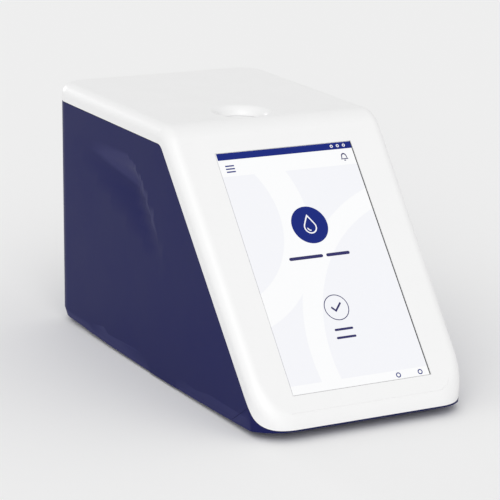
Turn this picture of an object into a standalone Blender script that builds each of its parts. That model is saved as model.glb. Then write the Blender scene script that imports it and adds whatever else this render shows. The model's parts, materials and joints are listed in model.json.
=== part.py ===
"""CRP analyzer, a bench-top reader: moulded shells, touch screen, sliding lid, cuvette lift and optics.

Metres, +Z up. The front looks along -Y, +X is to the right of someone who faces it,
and the origin is the middle of the footprint, on the table.
"""

import math

import bmesh
import bpy
from mathutils import Matrix, Vector

# Whole instrument
BODY_WIDTH = 0.1450
BODY_DEPTH = 0.2700
BODY_HEIGHT = 0.1550
FOOT_STANDOFF = 0.0036
TOP_LENGTH = 0.1513
FRONT_EDGE_HEIGHT = 0.0115
SIDE_DRAFT = math.radians(1.3)
WALL = 0.0025
FIT_GAP = 0.0003
OVERRUN = 0.0100
MERGE_DISTANCE = 0.000001
SAME_PLACE = 0.00001
SHARP_ANGLE = math.radians(35)
FLAT_ANGLE = math.radians(0.2)

# Rounded edges of the outer form
BEND_RADIUS = 0.0170
REAR_CORNER_RADIUS = 0.0170
FRONT_CORNER_RADIUS = 0.0210
RIM_RADIUS = 0.0072
OUTER_CORNER_STEPS = 6
OUTER_RIM_STEPS = 4
INNER_CORNER_STEPS = 3
INNER_RIM_STEPS = 2
BEND_STEPS = 5
SMALL_CORNER_STEPS = 3
FULL_ROUND_SHARE = 0.98

# Split between the white cover, the blue housing and the base
COVER_DEPTH = 0.0111
COVER_BEND_RADIUS = 0.0060
LIP_HEIGHT = 0.0066
LIP_CORNER_RADIUS = 0.0175
NOSE_EDGE_HEIGHT = 0.0059
NOSE_UNDERSIDE_RUN = 0.0170
NOSE_SEAM_TOP = 0.0166
NOSE_LENGTH = 0.0380
BASE_OVERLAP = 0.0080
SIDE_EDGE_HEIGHT = 0.0017
SIDE_EDGE_RADIUS = 3.5600
SIDE_EDGE_STEPS = 16

# Hollowed grip on each side of the housing
GRIP_DEPTH = 0.0045
GRIP_DROP = 0.0320
GRIP_CORNER_REACH = 0.0373
GRIP_LENGTH = 0.0820
GRIP_FOOT_REACH = 0.0380
GRIP_FOOT_DROP = 0.0488
GRIP_BACK_WALL = 0.0034
GRIP_BOSS_START = 0.0010

# Shallow facets along the foot of the sides: shares of the way from the plain land, and of the inset
FACET_INSET = 0.0022
FACET_TOP = 0.0093
FACET_END_TOP = 0.0120
FACET_LAND_Y = (-0.0200, 0.0000)
FACET_REAR_REACH = 0.0100
FACET_CORNER_STEPS = 6
REAR_FACET_SHARES = ((0.0, 0.0), (0.07, 0.2), (0.5, 0.25), (0.72, 0.42), (1.0, 0.85))
FRONT_FACET_SHARES = ((0.0, 0.0), (0.1, 0.15), (0.45, 0.22), (1.0, 0.3))

# Touch screen, measured down the slope from the virtual edge under the top bend
SCREEN_SIDE_MARGIN = 0.0268
SCREEN_START = 0.0196
SCREEN_END_MARGIN = 0.0154
GLASS_THICKNESS = 0.0011
LEDGE_WIDTH = 0.0024
LCD_MARGIN = 0.0032
LCD_THICKNESS = 0.0045
LCD_BEVEL = 0.0006
LCD_CONNECTOR = (0.0240, 0.0030, 0.0020)
BRACKET_MARGIN = 0.0115
BRACKET_END_MARGIN = 0.0040
BRACKET_THICKNESS = 0.0012
BRACKET_CORNER = 0.0100
BRACKET_SLOT = (0.0220, 0.0060)
BRACKET_SLOT_PITCH = (0.0320, 0.0180)
BRACKET_SLOT_ROWS = 7
POST_RADIUS = 0.0025
POST_SIDES = 12
POST_INSET = 0.0042
POST_END_INSET = 0.0240

# Measuring well, the axis that the recess, the lid, the lift and the optics share
WELL_X = -0.0080
WELL_REACH = 0.0243
RECESS_RADIUS = 0.0190
THROAT_RADIUS = 0.0135
THROAT_DROP = 0.0055
RECESS_COLLAR = 0.0180
RECESS_STEPS = 36

# Lid, its rack, its pinion and its motor
LID_TRAVEL = 0.0320
LID_LENGTH = 0.0340
LID_HALF_WIDTH = 0.0205
LID_THICKNESS = 0.0022
LID_DISH_RADIUS = 0.0115
LID_DISH_DEPTH = 0.0009
LID_CLEARANCE = 0.0003
GEAR_MODULE = 0.0010
PINION_TEETH = 12
PRESSURE_ANGLE = math.radians(20)
ADDENDUM_SHARE = 0.70
DEDENDUM_SHARE = 0.95
BACKLASH = 0.0003
FLANK_STEPS = 3
RACK_REACH = 0.0040
PINION_HUB_RADIUS = 0.0030
PINION_HUB_HEIGHT = 0.0012
LID_MOTOR_RADIUS = 0.0100
LID_MOTOR_HEIGHT = 0.0220
LID_MOTOR_EAR_RADIUS = 0.0032
LID_MOTOR_EAR_REACH = 0.0125
LID_MOTOR_EAR_THICKNESS = 0.0015
LID_MOTOR_SHAFT_RADIUS = 0.0012

# Tray under the cover in which the lid slides
TRAY_FLOOR = 0.0020
TRAY_WALL = 0.0020
TRAY_FRONT = 0.0045
TRAY_REAR = 0.0060
TRAY_LIP_REACH = 0.0022
TRAY_LIP_THICKNESS = 0.0012
TRAY_HOLE_RADIUS = 0.0132
TRAY_PINION_ROOM = 0.0012
TRAY_EAR = 0.0070
TRAY_POST_RADIUS = 0.0026

# Chassis, the C-shaped frame of the measuring unit
CHASSIS_HALF_WIDTH = 0.0270
CHASSIS_HEIGHT = 0.0774
CHASSIS_THICKNESS = 0.0040
CHASSIS_FRONT_REACH = 0.0270
CHASSIS_REAR_REACH = 0.0540
CHASSIS_SHELF_REACH = 0.0075
CHASSIS_BEND_RADIUS = 0.0060
CHASSIS_LEG_RADIUS = 0.0040
CHASSIS_LEG_INSET = 0.0060
CHASSIS_WINDOW_WIDTH = 0.0260
CHASSIS_WINDOW_HEIGHT = 0.0400
CHASSIS_WINDOW_RISE = 0.0150

# Heated block around the cuvette
BLOCK_HALF_WIDTH = 0.0220
BLOCK_FRONT = 0.0240
BLOCK_REAR = 0.0170
BLOCK_HEIGHT = 0.0400
BLOCK_BORE_RADIUS = 0.0120
BLOCK_BORE_STEPS = 24
BLOCK_BEVEL = 0.0010
LIGHT_AXIS_HEIGHT = 0.0120
LIGHT_PATH_RADIUS = 0.0030

# Light source, lens and detector
SOURCE_RADIUS = 0.0065
SOURCE_LENGTH = 0.0160
SOURCE_FLANGE_RADIUS = 0.0090
SOURCE_FLANGE_LENGTH = 0.0025
SOURCE_SOCKET_RADIUS = 0.0048
SOURCE_SOCKET_DEPTH = 0.0040
LENS_RADIUS = 0.0045
LENS_EDGE = 0.0012
LENS_CROWN = 0.0008
DETECTOR_BOARD = (0.0016, 0.0220, 0.0220)
DETECTOR_CAN_RADIUS = 0.0042
DETECTOR_CAN_HEIGHT = 0.0034
READER_HALF_WIDTH = 0.0090
READER_HEIGHT = 0.0130
READER_DEPTH = 0.0085
READER_FRONT_GAP = 0.0010
READER_LENS_RADIUS = 0.0026
READER_LENS_LENGTH = 0.0012

# Cuvette carrier and its lift
CUP_RADIUS = 0.0110
CUP_BORE_RADIUS = 0.0088
CUP_HEIGHT = 0.0400
CUP_FLOOR = 0.0030
CUP_RIM = 0.0010
CUP_STEPS = 24
CUP_WINDOW_HALF = 0.0030
ARM_THICKNESS = 0.0060
ARM_HALF_WIDTH = 0.0080
ARM_REST_CLEARANCE = 0.0008
YOKE_DEPTH = 0.0140
YOKE_REACH = 0.0050
YOKE_HEIGHT = 0.0110
ROD_RADIUS = 0.0025
ROD_SPACING = 0.0320
ROD_SEAT_DEPTH = 0.0025
ROD_STEPS = 16
BUSH_CLEARANCE = 0.0003
LIFT_AXIS_OFFSET = 0.0380
SCREW_RADIUS = 0.0030
SCREW_CORE_RADIUS = 0.0023
SCREW_LEAD = 0.0050
SCREW_THREAD_INSET = 0.0010
THREAD_ROOT_SHARE = 0.55
THREAD_CREST_SHARE = 0.30
THREAD_SINK_SHARE = 0.85
THREAD_STEPS = 12
SCREW_JOURNAL_RADIUS = 0.0020
SCREW_JOURNAL_LENGTH = 0.0032
SCREW_COUPLER_RADIUS = 0.0045
SCREW_COUPLER_LENGTH = 0.0060
LIFT_MOTOR_HALF = 0.0140
LIFT_MOTOR_HEIGHT = 0.0260
LIFT_MOTOR_BEVEL = 0.0030
LIFT_MOTOR_BOSS_RADIUS = 0.0055
LIFT_MOTOR_BOSS_HEIGHT = 0.0020

# Main board and the sockets on its rear edge
BOARD_SIDE_CLEARANCE = 0.0175
BOARD_DEPTH = 0.0610
BOARD_REAR_CLEARANCE = 0.0015
BOARD_THICKNESS = 0.0016
BOARD_HEIGHT = 0.0140
BOARD_PILLAR_RADIUS = 0.0030
BOARD_PILLAR_INSET = 0.0080
BOARD_CHIP = (0.0180, 0.0180, 0.0020)
BOARD_CHIP_OFFSET = 0.0180
BOARD_HEATSINK = (0.0240, 0.0200, 0.0080)
HEATSINK_FINS = 5
SOCKET_LENGTH = 0.0180
SOCKET_GAP = 0.0003
NETWORK_SOCKET = (0.0160, 0.0135)
NETWORK_HOLE = (0.0118, 0.0084)
NETWORK_HOLE_DEPTH = 0.0120
USB_SOCKET = (0.0146, 0.0074)
USB_HOLE = (0.0124, 0.0052)
USB_HOLE_DEPTH = 0.0110
POWER_SOCKET = (0.0100, 0.0115)
POWER_HOLE_RADIUS = 0.0032
POWER_HOLE_DEPTH = 0.0100
POWER_PIN_RADIUS = 0.0010

# Power button
BUTTON_HEIGHT = 0.0260
BUTTON_RADIUS = 0.0060
BUTTON_LENGTH = 0.0060
BUTTON_FLANGE_RADIUS = 0.0072
BUTTON_FLANGE_LENGTH = 0.0012
BUTTON_TRAVEL = 0.0015
BUTTON_DISH_DEPTH = 0.0005
BUTTON_CLEARANCE = 0.0003
BUTTON_STEPS = 24
SWITCH_BODY = (0.0120, 0.0070, 0.0120)
SWITCH_STEM_RADIUS = 0.0018
SWITCH_STEM_LENGTH = 0.0020

# Speaker, feet, screws and the openings of the base
SPEAKER_SIDE_INSET = 0.0345
SPEAKER_FRONT_INSET = 0.0790
SPEAKER_RADIUS = 0.0140
SPEAKER_HEIGHT = 0.0060
SPEAKER_MAGNET_RADIUS = 0.0085
SPEAKER_MAGNET_HEIGHT = 0.0040
SPEAKER_STEPS = 24
SLOT_WIDTH = 0.0018
SLOT_LENGTH = 0.0180
SLOT_PITCH = 0.0042
SLOT_COUNT = 5
FOOT_RADIUS = 0.0075
FOOT_ROUND = 0.0012
FOOT_POCKET = 0.0011
FOOT_SIDE_INSET = 0.0225
FOOT_END_INSETS = (0.0500, 0.0270)
FOOT_STEPS = 24
SCREW_SIDE_INSET = 0.0105
SCREW_END_INSETS = (0.0750, 0.0530)
BASE_SCREW_HEAD_RADIUS = 0.0030
BASE_SCREW_HEAD_HEIGHT = 0.0014
BASE_SCREW_RADIUS = 0.0015
BASE_SCREW_LENGTH = 0.0110
BOSS_RADIUS = 0.0052
BOSS_HEIGHT = 0.0180
BOSS_STEPS = 16

# Places that follow from the sizes
HALF_DEPTH = BODY_DEPTH / 2
HALF_BODY_WIDTH = BODY_WIDTH / 2
FLOOR = FOOT_STANDOFF
TOP_EDGE_Y = HALF_DEPTH - TOP_LENGTH
FRONT_ANGLE = math.atan((BODY_HEIGHT - FRONT_EDGE_HEIGHT) / (BODY_DEPTH - TOP_LENGTH))
SLOPE_LENGTH = (BODY_HEIGHT - FRONT_EDGE_HEIGHT) / math.sin(FRONT_ANGLE)
SCREEN_WIDTH = BODY_WIDTH - 2 * SCREEN_SIDE_MARGIN
SCREEN_LENGTH = SLOPE_LENGTH - SCREEN_START - SCREEN_END_MARGIN
INNER_FLOOR = FLOOR + WALL
NOSE_SEAM_FOOT_Y = -HALF_DEPTH + NOSE_LENGTH
GRIP_TOP_HEIGHT = BODY_HEIGHT - GRIP_DROP
GRIP_CORNER_Y = TOP_EDGE_Y + GRIP_CORNER_REACH
WELL_Y = TOP_EDGE_Y + WELL_REACH
THROAT_BOTTOM = BODY_HEIGHT - THROAT_DROP
LID_TOP = THROAT_BOTTOM - LID_CLEARANCE
LID_BOTTOM = LID_TOP - LID_THICKNESS
LID_FRONT = WELL_Y - LID_LENGTH / 2
LID_REAR = WELL_Y + LID_LENGTH / 2
PINION_PITCH_RADIUS = GEAR_MODULE * PINION_TEETH / 2
ADDENDUM = GEAR_MODULE * ADDENDUM_SHARE
DEDENDUM = GEAR_MODULE * DEDENDUM_SHARE
TOOTH_PITCH = math.pi * GEAR_MODULE
RACK_PITCH_X = WELL_X + LID_HALF_WIDTH + DEDENDUM
PINION_X = RACK_PITCH_X + PINION_PITCH_RADIUS
PINION_Y = LID_REAR + RACK_REACH / 2
RACK_REAR = PINION_Y + RACK_REACH
TRAY_TOP = LID_BOTTOM - LID_CLEARANCE
TRAY_BOTTOM = TRAY_TOP - TRAY_FLOOR
TRAY_Y = (LID_FRONT - TRAY_FRONT, RACK_REAR + LID_TRAVEL + TRAY_REAR)
SHELF_TOP = TRAY_BOTTOM - FIT_GAP
SHELF_BOTTOM = SHELF_TOP - CHASSIS_THICKNESS
CHASSIS_DECK_TOP = SHELF_TOP - CHASSIS_HEIGHT
CHASSIS_FRONT_Y = WELL_Y - CHASSIS_FRONT_REACH
CHASSIS_REAR_Y = WELL_Y + CHASSIS_REAR_REACH
DECK_BOTTOM = CHASSIS_DECK_TOP - CHASSIS_THICKNESS
BLOCK_BOTTOM = CHASSIS_DECK_TOP + FIT_GAP
BLOCK_TOP = BLOCK_BOTTOM + BLOCK_HEIGHT
ARM_BOTTOM = BLOCK_TOP + ARM_REST_CLEARANCE
ARM_TOP = ARM_BOTTOM + ARM_THICKNESS
CUP_TOP = ARM_TOP + CUP_RIM
CUP_BOTTOM = CUP_TOP - CUP_HEIGHT
LIFT_Y = WELL_Y + LIFT_AXIS_OFFSET
CHASSIS_SHELF_FRONT_Y = LIFT_Y - CHASSIS_SHELF_REACH
LIGHT_Z = CUP_BOTTOM + LIGHT_AXIS_HEIGHT
BOARD_TOP = BOARD_HEIGHT + BOARD_THICKNESS
BOARD_HALF_WIDTH = HALF_BODY_WIDTH - BOARD_SIDE_CLEARANCE
BOARD_REAR_Y = HALF_DEPTH - WALL - BOARD_REAR_CLEARANCE
BOARD_FRONT_Y = BOARD_REAR_Y - BOARD_DEPTH
SPEAKER_X = HALF_BODY_WIDTH - SPEAKER_SIDE_INSET
SPEAKER_Y = -HALF_DEPTH + SPEAKER_FRONT_INSET
SOCKET_BOTTOM = BOARD_TOP + FIT_GAP
FACE_DOWN = Vector((0, -math.cos(FRONT_ANGLE), -math.sin(FRONT_ANGLE)))
FACE_INWARD = Vector((0, math.sin(FRONT_ANGLE), -math.cos(FRONT_ANGLE)))

# The front slope's own frame: X across, Y down the slope, Z into the body
FACE = Matrix.Translation((0, TOP_EDGE_Y, BODY_HEIGHT)) @ Matrix(
    ((1, 0, 0), tuple(FACE_DOWN), tuple(FACE_INWARD))
).transposed().to_4x4()
# A side view's frame: X to the rear, Y up, Z to the right
SIDE_VIEW = Matrix(((0, 0, 1), (1, 0, 0), (0, 1, 0))).to_4x4()
PLAN_VIEW = Matrix.Identity(4)


# Scene, collections and materials

for item in list(bpy.data.objects):
    bpy.data.objects.remove(item, do_unlink=True)

parts = bpy.data.collections.new("crp_analyzer")
cutters = bpy.data.collections.new("cutters")
bpy.context.scene.collection.children.link(parts)
bpy.context.scene.collection.children.link(cutters)


# Finishes: colour, roughness, metallic
WHITE_PLASTIC = ((0.86, 0.86, 0.85), 0.35, 0.0)
BLUE_PLASTIC = ((0.030, 0.030, 0.110), 0.45, 0.0)
SCREEN_GLASS = ((0.80, 0.82, 0.88), 0.10, 0.0)
BLACK_PLASTIC = ((0.02, 0.02, 0.02), 0.55, 0.0)
GREY_PLASTIC = ((0.25, 0.26, 0.28), 0.50, 0.0)
ALUMINIUM = ((0.60, 0.61, 0.62), 0.35, 1.0)
STEEL = ((0.55, 0.55, 0.56), 0.25, 1.0)
BOARD_GREEN = ((0.02, 0.16, 0.07), 0.50, 0.0)
RUBBER = ((0.03, 0.03, 0.03), 0.85, 0.0)
CLEAR_GLASS = ((0.75, 0.85, 0.90), 0.05, 0.0)


def material(name, finish):
    """A Principled BSDF of one plain colour, named for its sub-part."""
    colour, roughness, metallic = finish
    made = bpy.data.materials.new(name)
    made.use_nodes = True
    shader = made.node_tree.nodes["Principled BSDF"]
    shader.inputs["Base Color"].default_value = (*colour, 1)
    shader.inputs["Roughness"].default_value = roughness
    shader.inputs["Metallic"].default_value = metallic
    return made


# Modelling helpers


def place(name, mesh, frame, finish):
    """Links a mesh as a sub-part with a material of its own, or as a cutter where it has no finish."""
    item = bpy.data.objects.new(name, mesh)
    item.matrix_world = frame
    if finish is None:
        cutters.objects.link(item)
        item.hide_render = True
        item.display_type = "WIRE"
    else:
        parts.objects.link(item)
        mesh.materials.append(material(name, finish))
    return item


def mesh_from(name, form):
    """Turns a bmesh into a mesh with its faces pointing out and its round sides smooth."""
    bmesh.ops.recalc_face_normals(form, faces=form.faces)
    mesh = bpy.data.meshes.new(name)
    form.to_mesh(mesh)
    form.free()
    mesh.shade_smooth()
    mesh.set_sharp_from_angle(angle=SHARP_ANGLE)
    return mesh


def block(name, low, high, finish=None, frame=PLAN_VIEW, bevel=0.0):
    """A box between two corners of a frame, with its origin at its middle."""
    low, high = Vector(low), Vector(high)
    form = bmesh.new()
    bmesh.ops.create_cube(form, size=1, matrix=Matrix.Diagonal((*(high - low), 1)))
    if bevel:
        bmesh.ops.bevel(form, geom=form.edges[:], offset=bevel, segments=2, profile=0.5, affect="EDGES")
    middle = frame @ Matrix.Translation((low + high) / 2)
    return place(name, mesh_from(name, form), middle, finish)


def rod(name, foot, head, radius, steps, finish=None):
    """A cylinder from foot to head, with its origin at its foot."""
    foot, head = Vector(foot), Vector(head)
    along = head - foot
    length = along.length
    form = bmesh.new()
    bmesh.ops.create_cone(
        form,
        cap_ends=True,
        segments=steps,
        radius1=radius,
        radius2=radius,
        depth=length,
        matrix=Matrix.Translation((0, 0, length / 2)),
    )
    turn = Vector((0, 0, 1)).rotation_difference(along).to_matrix().to_4x4()
    return place(name, mesh_from(name, form), Matrix.Translation(foot) @ turn, finish)


def turned(name, profile, centre, steps, finish=None, direction=(0, 0, 1)):
    """A profile of (radius, height) pairs, down its outer side, turned by a Screw modifier."""
    form = bmesh.new()
    corners = [form.verts.new((radius, 0, height)) for radius, height in profile]
    closed = profile[0][0] > 0 and profile[-1][0] > 0
    pairs = zip(corners, corners[1:] + corners[:1] if closed else corners[1:])
    for first, second in pairs:
        form.edges.new((first, second))
    mesh = bpy.data.meshes.new(name)
    form.to_mesh(mesh)
    form.free()
    turn = Vector((0, 0, 1)).rotation_difference(Vector(direction)).to_matrix().to_4x4()
    item = place(name, mesh, Matrix.Translation(centre) @ turn, finish)
    screw = item.modifiers.new("turn", "SCREW")
    screw.steps = steps
    screw.render_steps = steps
    screw.use_merge_vertices = True
    screw.merge_threshold = MERGE_DISTANCE
    screw.use_smooth_shade = True
    return item


def outline(name, loops, thickness, view=PLAN_VIEW, level=0.0, finish=None):
    """A flat outline, with its holes, extruded both ways from a level of a view by a 2D curve."""
    curve = bpy.data.curves.new(name, "CURVE")
    curve.dimensions = "2D"
    curve.fill_mode = "BOTH"
    curve.extrude = thickness / 2
    for points in loops:
        spline = curve.splines.new("POLY")
        spline.points.add(len(points) - 1)
        for point, (across, up) in zip(spline.points, points):
            point.co = (across, up, 0, 1)
        spline.use_cyclic_u = True
    frame = view @ Matrix.Translation((0, 0, level))
    guide = bpy.data.objects.new(name + "_curve", curve)
    guide.matrix_world = frame
    parts.objects.link(guide)
    graph = bpy.context.evaluated_depsgraph_get()
    raw = bpy.data.meshes.new_from_object(guide.evaluated_get(graph))
    bpy.data.objects.remove(guide, do_unlink=True)
    form = bmesh.new()
    form.from_mesh(raw)
    bpy.data.meshes.remove(raw)
    bmesh.ops.remove_doubles(form, verts=form.verts, dist=MERGE_DISTANCE)
    bmesh.ops.dissolve_limit(form, angle_limit=FLAT_ANGLE, verts=form.verts, edges=form.edges)
    return place(name, mesh_from(name, form), frame, finish)


def combine(target, operation, *others):
    """Adds one exact Boolean for each other object."""
    for other in others:
        change = target.modifiers.new(other.name, "BOOLEAN")
        change.operation = operation
        change.object = other
        change.solver = "EXACT"
    return target


# Outlines


def corner_arc(before, corner, after, radius, steps):
    """The points of the arc that rounds one corner of a flat outline."""
    before, corner, after = Vector(before), Vector(corner), Vector(after)
    back = (before - corner).normalized()
    ahead = (after - corner).normalized()
    half_angle = math.acos(max(-1.0, min(1.0, back.dot(ahead)))) / 2
    reach = radius / math.tan(half_angle)
    centre = corner + (back + ahead).normalized() * (radius / math.sin(half_angle))
    start = corner + back * reach - centre
    sweep = math.pi - 2 * half_angle
    side = 1 if back.x * ahead.y - back.y * ahead.x < 0 else -1
    points = []
    for step in range(steps + 1):
        angle = side * sweep * step / steps
        turned_start = Matrix.Rotation(angle, 2) @ start
        points.append(tuple(centre + turned_start))
    return points


def rounded(points, radii, steps):
    """An outline with its corners rounded: one radius for each point, or zero for a sharp one."""
    made = []
    for index, (point, radius) in enumerate(zip(points, radii)):
        if radius:
            made += corner_arc(points[index - 1], point, points[(index + 1) % len(points)], radius, steps)
        else:
            made.append(tuple(point))
    return made


def rectangle(half_width, half_height, radius=0.0, steps=SMALL_CORNER_STEPS, centre=(0.0, 0.0)):
    """A rectangle about a centre, with round corners where a radius is given."""
    across, up = centre
    corners = [
        (across - half_width, up - half_height),
        (across + half_width, up - half_height),
        (across + half_width, up + half_height),
        (across - half_width, up + half_height),
    ]
    return rounded(corners, [radius] * len(corners), steps)


def circle(radius, steps, centre=(0.0, 0.0)):
    """The points of a circle about a centre."""
    return [
        (
            centre[0] + radius * math.cos(math.tau * step / steps),
            centre[1] + radius * math.sin(math.tau * step / steps),
        )
        for step in range(steps)
    ]


def meet(first, second):
    """The crossing of two lines, each a point and a direction."""
    (point, along), (other, across) = first, second
    gap = other - point
    share = (gap.x * across.y - gap.y * across.x) / (along.x * across.y - along.y * across.x)
    return point + along * share


def moved_inward(points, insets):
    """A clockwise outline with each edge, from its point to the next, moved inward by its own inset."""
    points = [Vector(point) for point in points]
    lines = []
    for index, inset in enumerate(insets):
        start, end = points[index], points[(index + 1) % len(points)]
        along = (end - start).normalized()
        lines.append((start + Vector((along.y, -along.x)) * inset, along))
    return [meet(lines[index - 1], lines[index]) for index in range(len(lines))]


# The outer form


def slope_point(height, depth=0.0):
    """The place in side view on the front slope, or on a plane that lies a depth behind it."""
    drop = BODY_HEIGHT - height
    return (TOP_EDGE_Y - drop / math.tan(FRONT_ANGLE) + depth / math.sin(FRONT_ANGLE), height)


def half_width(height):
    """Half the width of the drafted sides at a height."""
    return HALF_BODY_WIDTH - (BODY_HEIGHT - height) * math.tan(SIDE_DRAFT)


def side_profile(inset, floor):
    """The side view of the form over a flat floor, clockwise from its rear, its walls moved inward."""
    corners = [
        (HALF_DEPTH, floor),
        (-HALF_DEPTH, floor),
        (-HALF_DEPTH, FRONT_EDGE_HEIGHT),
        (TOP_EDGE_Y, BODY_HEIGHT),
        (HALF_DEPTH, BODY_HEIGHT),
    ]
    return moved_inward(corners, [0, inset, inset, inset, inset])


def underside(name, rise):
    """What lies under the form in side view: a wide arc below the sides that turns up under the nose."""
    start, end = HALF_DEPTH + OVERRUN, -HALF_DEPTH + NOSE_UNDERSIDE_RUN
    line = []
    for step in range(SIDE_EDGE_STEPS + 1):
        along = start + (end - start) * step / SIDE_EDGE_STEPS
        drop = SIDE_EDGE_RADIUS - math.sqrt(SIDE_EDGE_RADIUS**2 - along**2)
        line.append((along, SIDE_EDGE_HEIGHT + drop + rise))
    turn_up = line[-1][1]
    slope = (NOSE_EDGE_HEIGHT + rise - turn_up) / NOSE_UNDERSIDE_RUN
    line.append((-HALF_DEPTH - OVERRUN, turn_up + slope * (NOSE_UNDERSIDE_RUN + OVERRUN)))
    below = [(-HALF_DEPTH - OVERRUN, -OVERRUN), (start, -OVERRUN)]
    return outline(name, [line + below], BODY_WIDTH + OVERRUN, SIDE_VIEW)


def select_edges(form, test):
    """The edges of a bmesh whose two ends both pass a test."""
    return [edge for edge in form.edges if all(test(end.co) for end in edge.verts)]


def near(value, other):
    """Whether two coordinates are the same place."""
    return abs(value - other) < SAME_PLACE


def body_form(name, inset, floor, corner_steps, rim_steps):
    """The rounded and drafted outer form as a cutter over a flat floor, its walls moved inward."""
    profile = side_profile(inset, floor)
    radii = [0, 0, 0, BEND_RADIUS - inset, 0]
    bent = rounded(profile, radii, BEND_STEPS)
    item = outline(name, [bent], BODY_WIDTH, SIDE_VIEW)
    form = bmesh.new()
    form.from_mesh(item.data)
    for corner in form.verts:
        corner.co.z = math.copysign(half_width(corner.co.y) - inset, corner.co.z)
    rear, front = HALF_DEPTH - inset, -HALF_DEPTH + inset
    for side in (-1, 1):
        upright = select_edges(form, lambda co: near(co.x, rear) and co.z * side > 0)
        bmesh.ops.bevel(
            form,
            geom=upright,
            offset=REAR_CORNER_RADIUS - inset,
            segments=corner_steps,
            profile=0.5,
            affect="EDGES",
        )
        upright = select_edges(form, lambda co: near(co.x, front) and co.z * side > 0)
        bmesh.ops.bevel(
            form,
            geom=upright,
            offset=FRONT_CORNER_RADIUS - inset,
            segments=corner_steps,
            profile=0.5,
            affect="EDGES",
        )
    form.normal_update()
    weight = form.edges.layers.float.new("bevel_weight_edge")
    for edge in form.edges:
        if len(edge.link_faces) != 2:
            continue
        above = [face for face in edge.link_faces if face.normal.y > math.cos(FRONT_ANGLE + SHARP_ANGLE / 2)]
        if len(above) == 1:
            edge[weight] = 1.0
    form.to_mesh(item.data)
    form.free()
    if not rim_steps:
        return item
    rim = item.modifiers.new("rim", "BEVEL")
    rim.offset_type = "WIDTH"
    rim.width = (RIM_RADIUS - inset) * math.sqrt(2)
    rim.segments = rim_steps
    rim.limit_method = "WEIGHT"
    rim.miter_outer = "MITER_SHARP"
    rim.use_clamp_overlap = False
    return item


def cover_edge(gap):
    """The line in side view where the cover ends, moved up and forward by a gap: rear to front."""
    depth = COVER_DEPTH - gap
    height = BODY_HEIGHT - COVER_DEPTH + gap
    lip = LIP_HEIGHT + gap
    points = [
        (HALF_DEPTH + OVERRUN, height),
        slope_point(height, depth),
        slope_point(lip, depth),
        (-HALF_DEPTH - OVERRUN, lip),
    ]
    radii = [0, COVER_BEND_RADIUS + gap, LIP_CORNER_RADIUS - gap, 0]
    return rounded(points, radii, BEND_STEPS)


def seam_line(gap):
    """The seam between housing and nose in side view, moved to the rear by a gap: top end, foot."""
    top = Vector(slope_point(NOSE_SEAM_TOP, COVER_DEPTH)) + Vector((gap, 0))
    foot = Vector((NOSE_SEAM_FOOT_Y + gap, FLOOR))
    edge = Vector(slope_point(NOSE_SEAM_TOP, COVER_DEPTH + FIT_GAP / 2))
    along = Vector(slope_point(FLOOR, COVER_DEPTH + FIT_GAP / 2)) - edge
    down = (foot - top).normalized()
    return tuple(meet((top, down), (edge, along))), tuple(foot + down * OVERRUN)


outer_form = body_form("outer_form", 0.0, 0.0, OUTER_CORNER_STEPS, OUTER_RIM_STEPS)
combine(outer_form, "DIFFERENCE", underside("underside", 0.0))
shell_cavity = body_form("shell_cavity", WALL, -OVERRUN, INNER_CORNER_STEPS, INNER_RIM_STEPS)
nose_cavity = body_form("nose_cavity", WALL, INNER_FLOOR, INNER_CORNER_STEPS, 0)
combine(nose_cavity, "DIFFERENCE", underside("nose_floor", WALL))
plate_form = body_form("plate_form", WALL + FIT_GAP, FLOOR, INNER_CORNER_STEPS, INNER_RIM_STEPS)


def shell(name, zone, cavity, finish):
    """A wall of the outer form, inside one zone of the side view."""
    item = outline(name, [zone], BODY_WIDTH + OVERRUN, SIDE_VIEW, finish=finish)
    combine(item, "INTERSECT", outer_form)
    combine(item, "DIFFERENCE", cavity)
    return item


def in_face(across, down, depth=0.0):
    """A place on the front slope, in the body's frame."""
    return FACE @ Vector((across, down, depth))


# White cover


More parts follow.
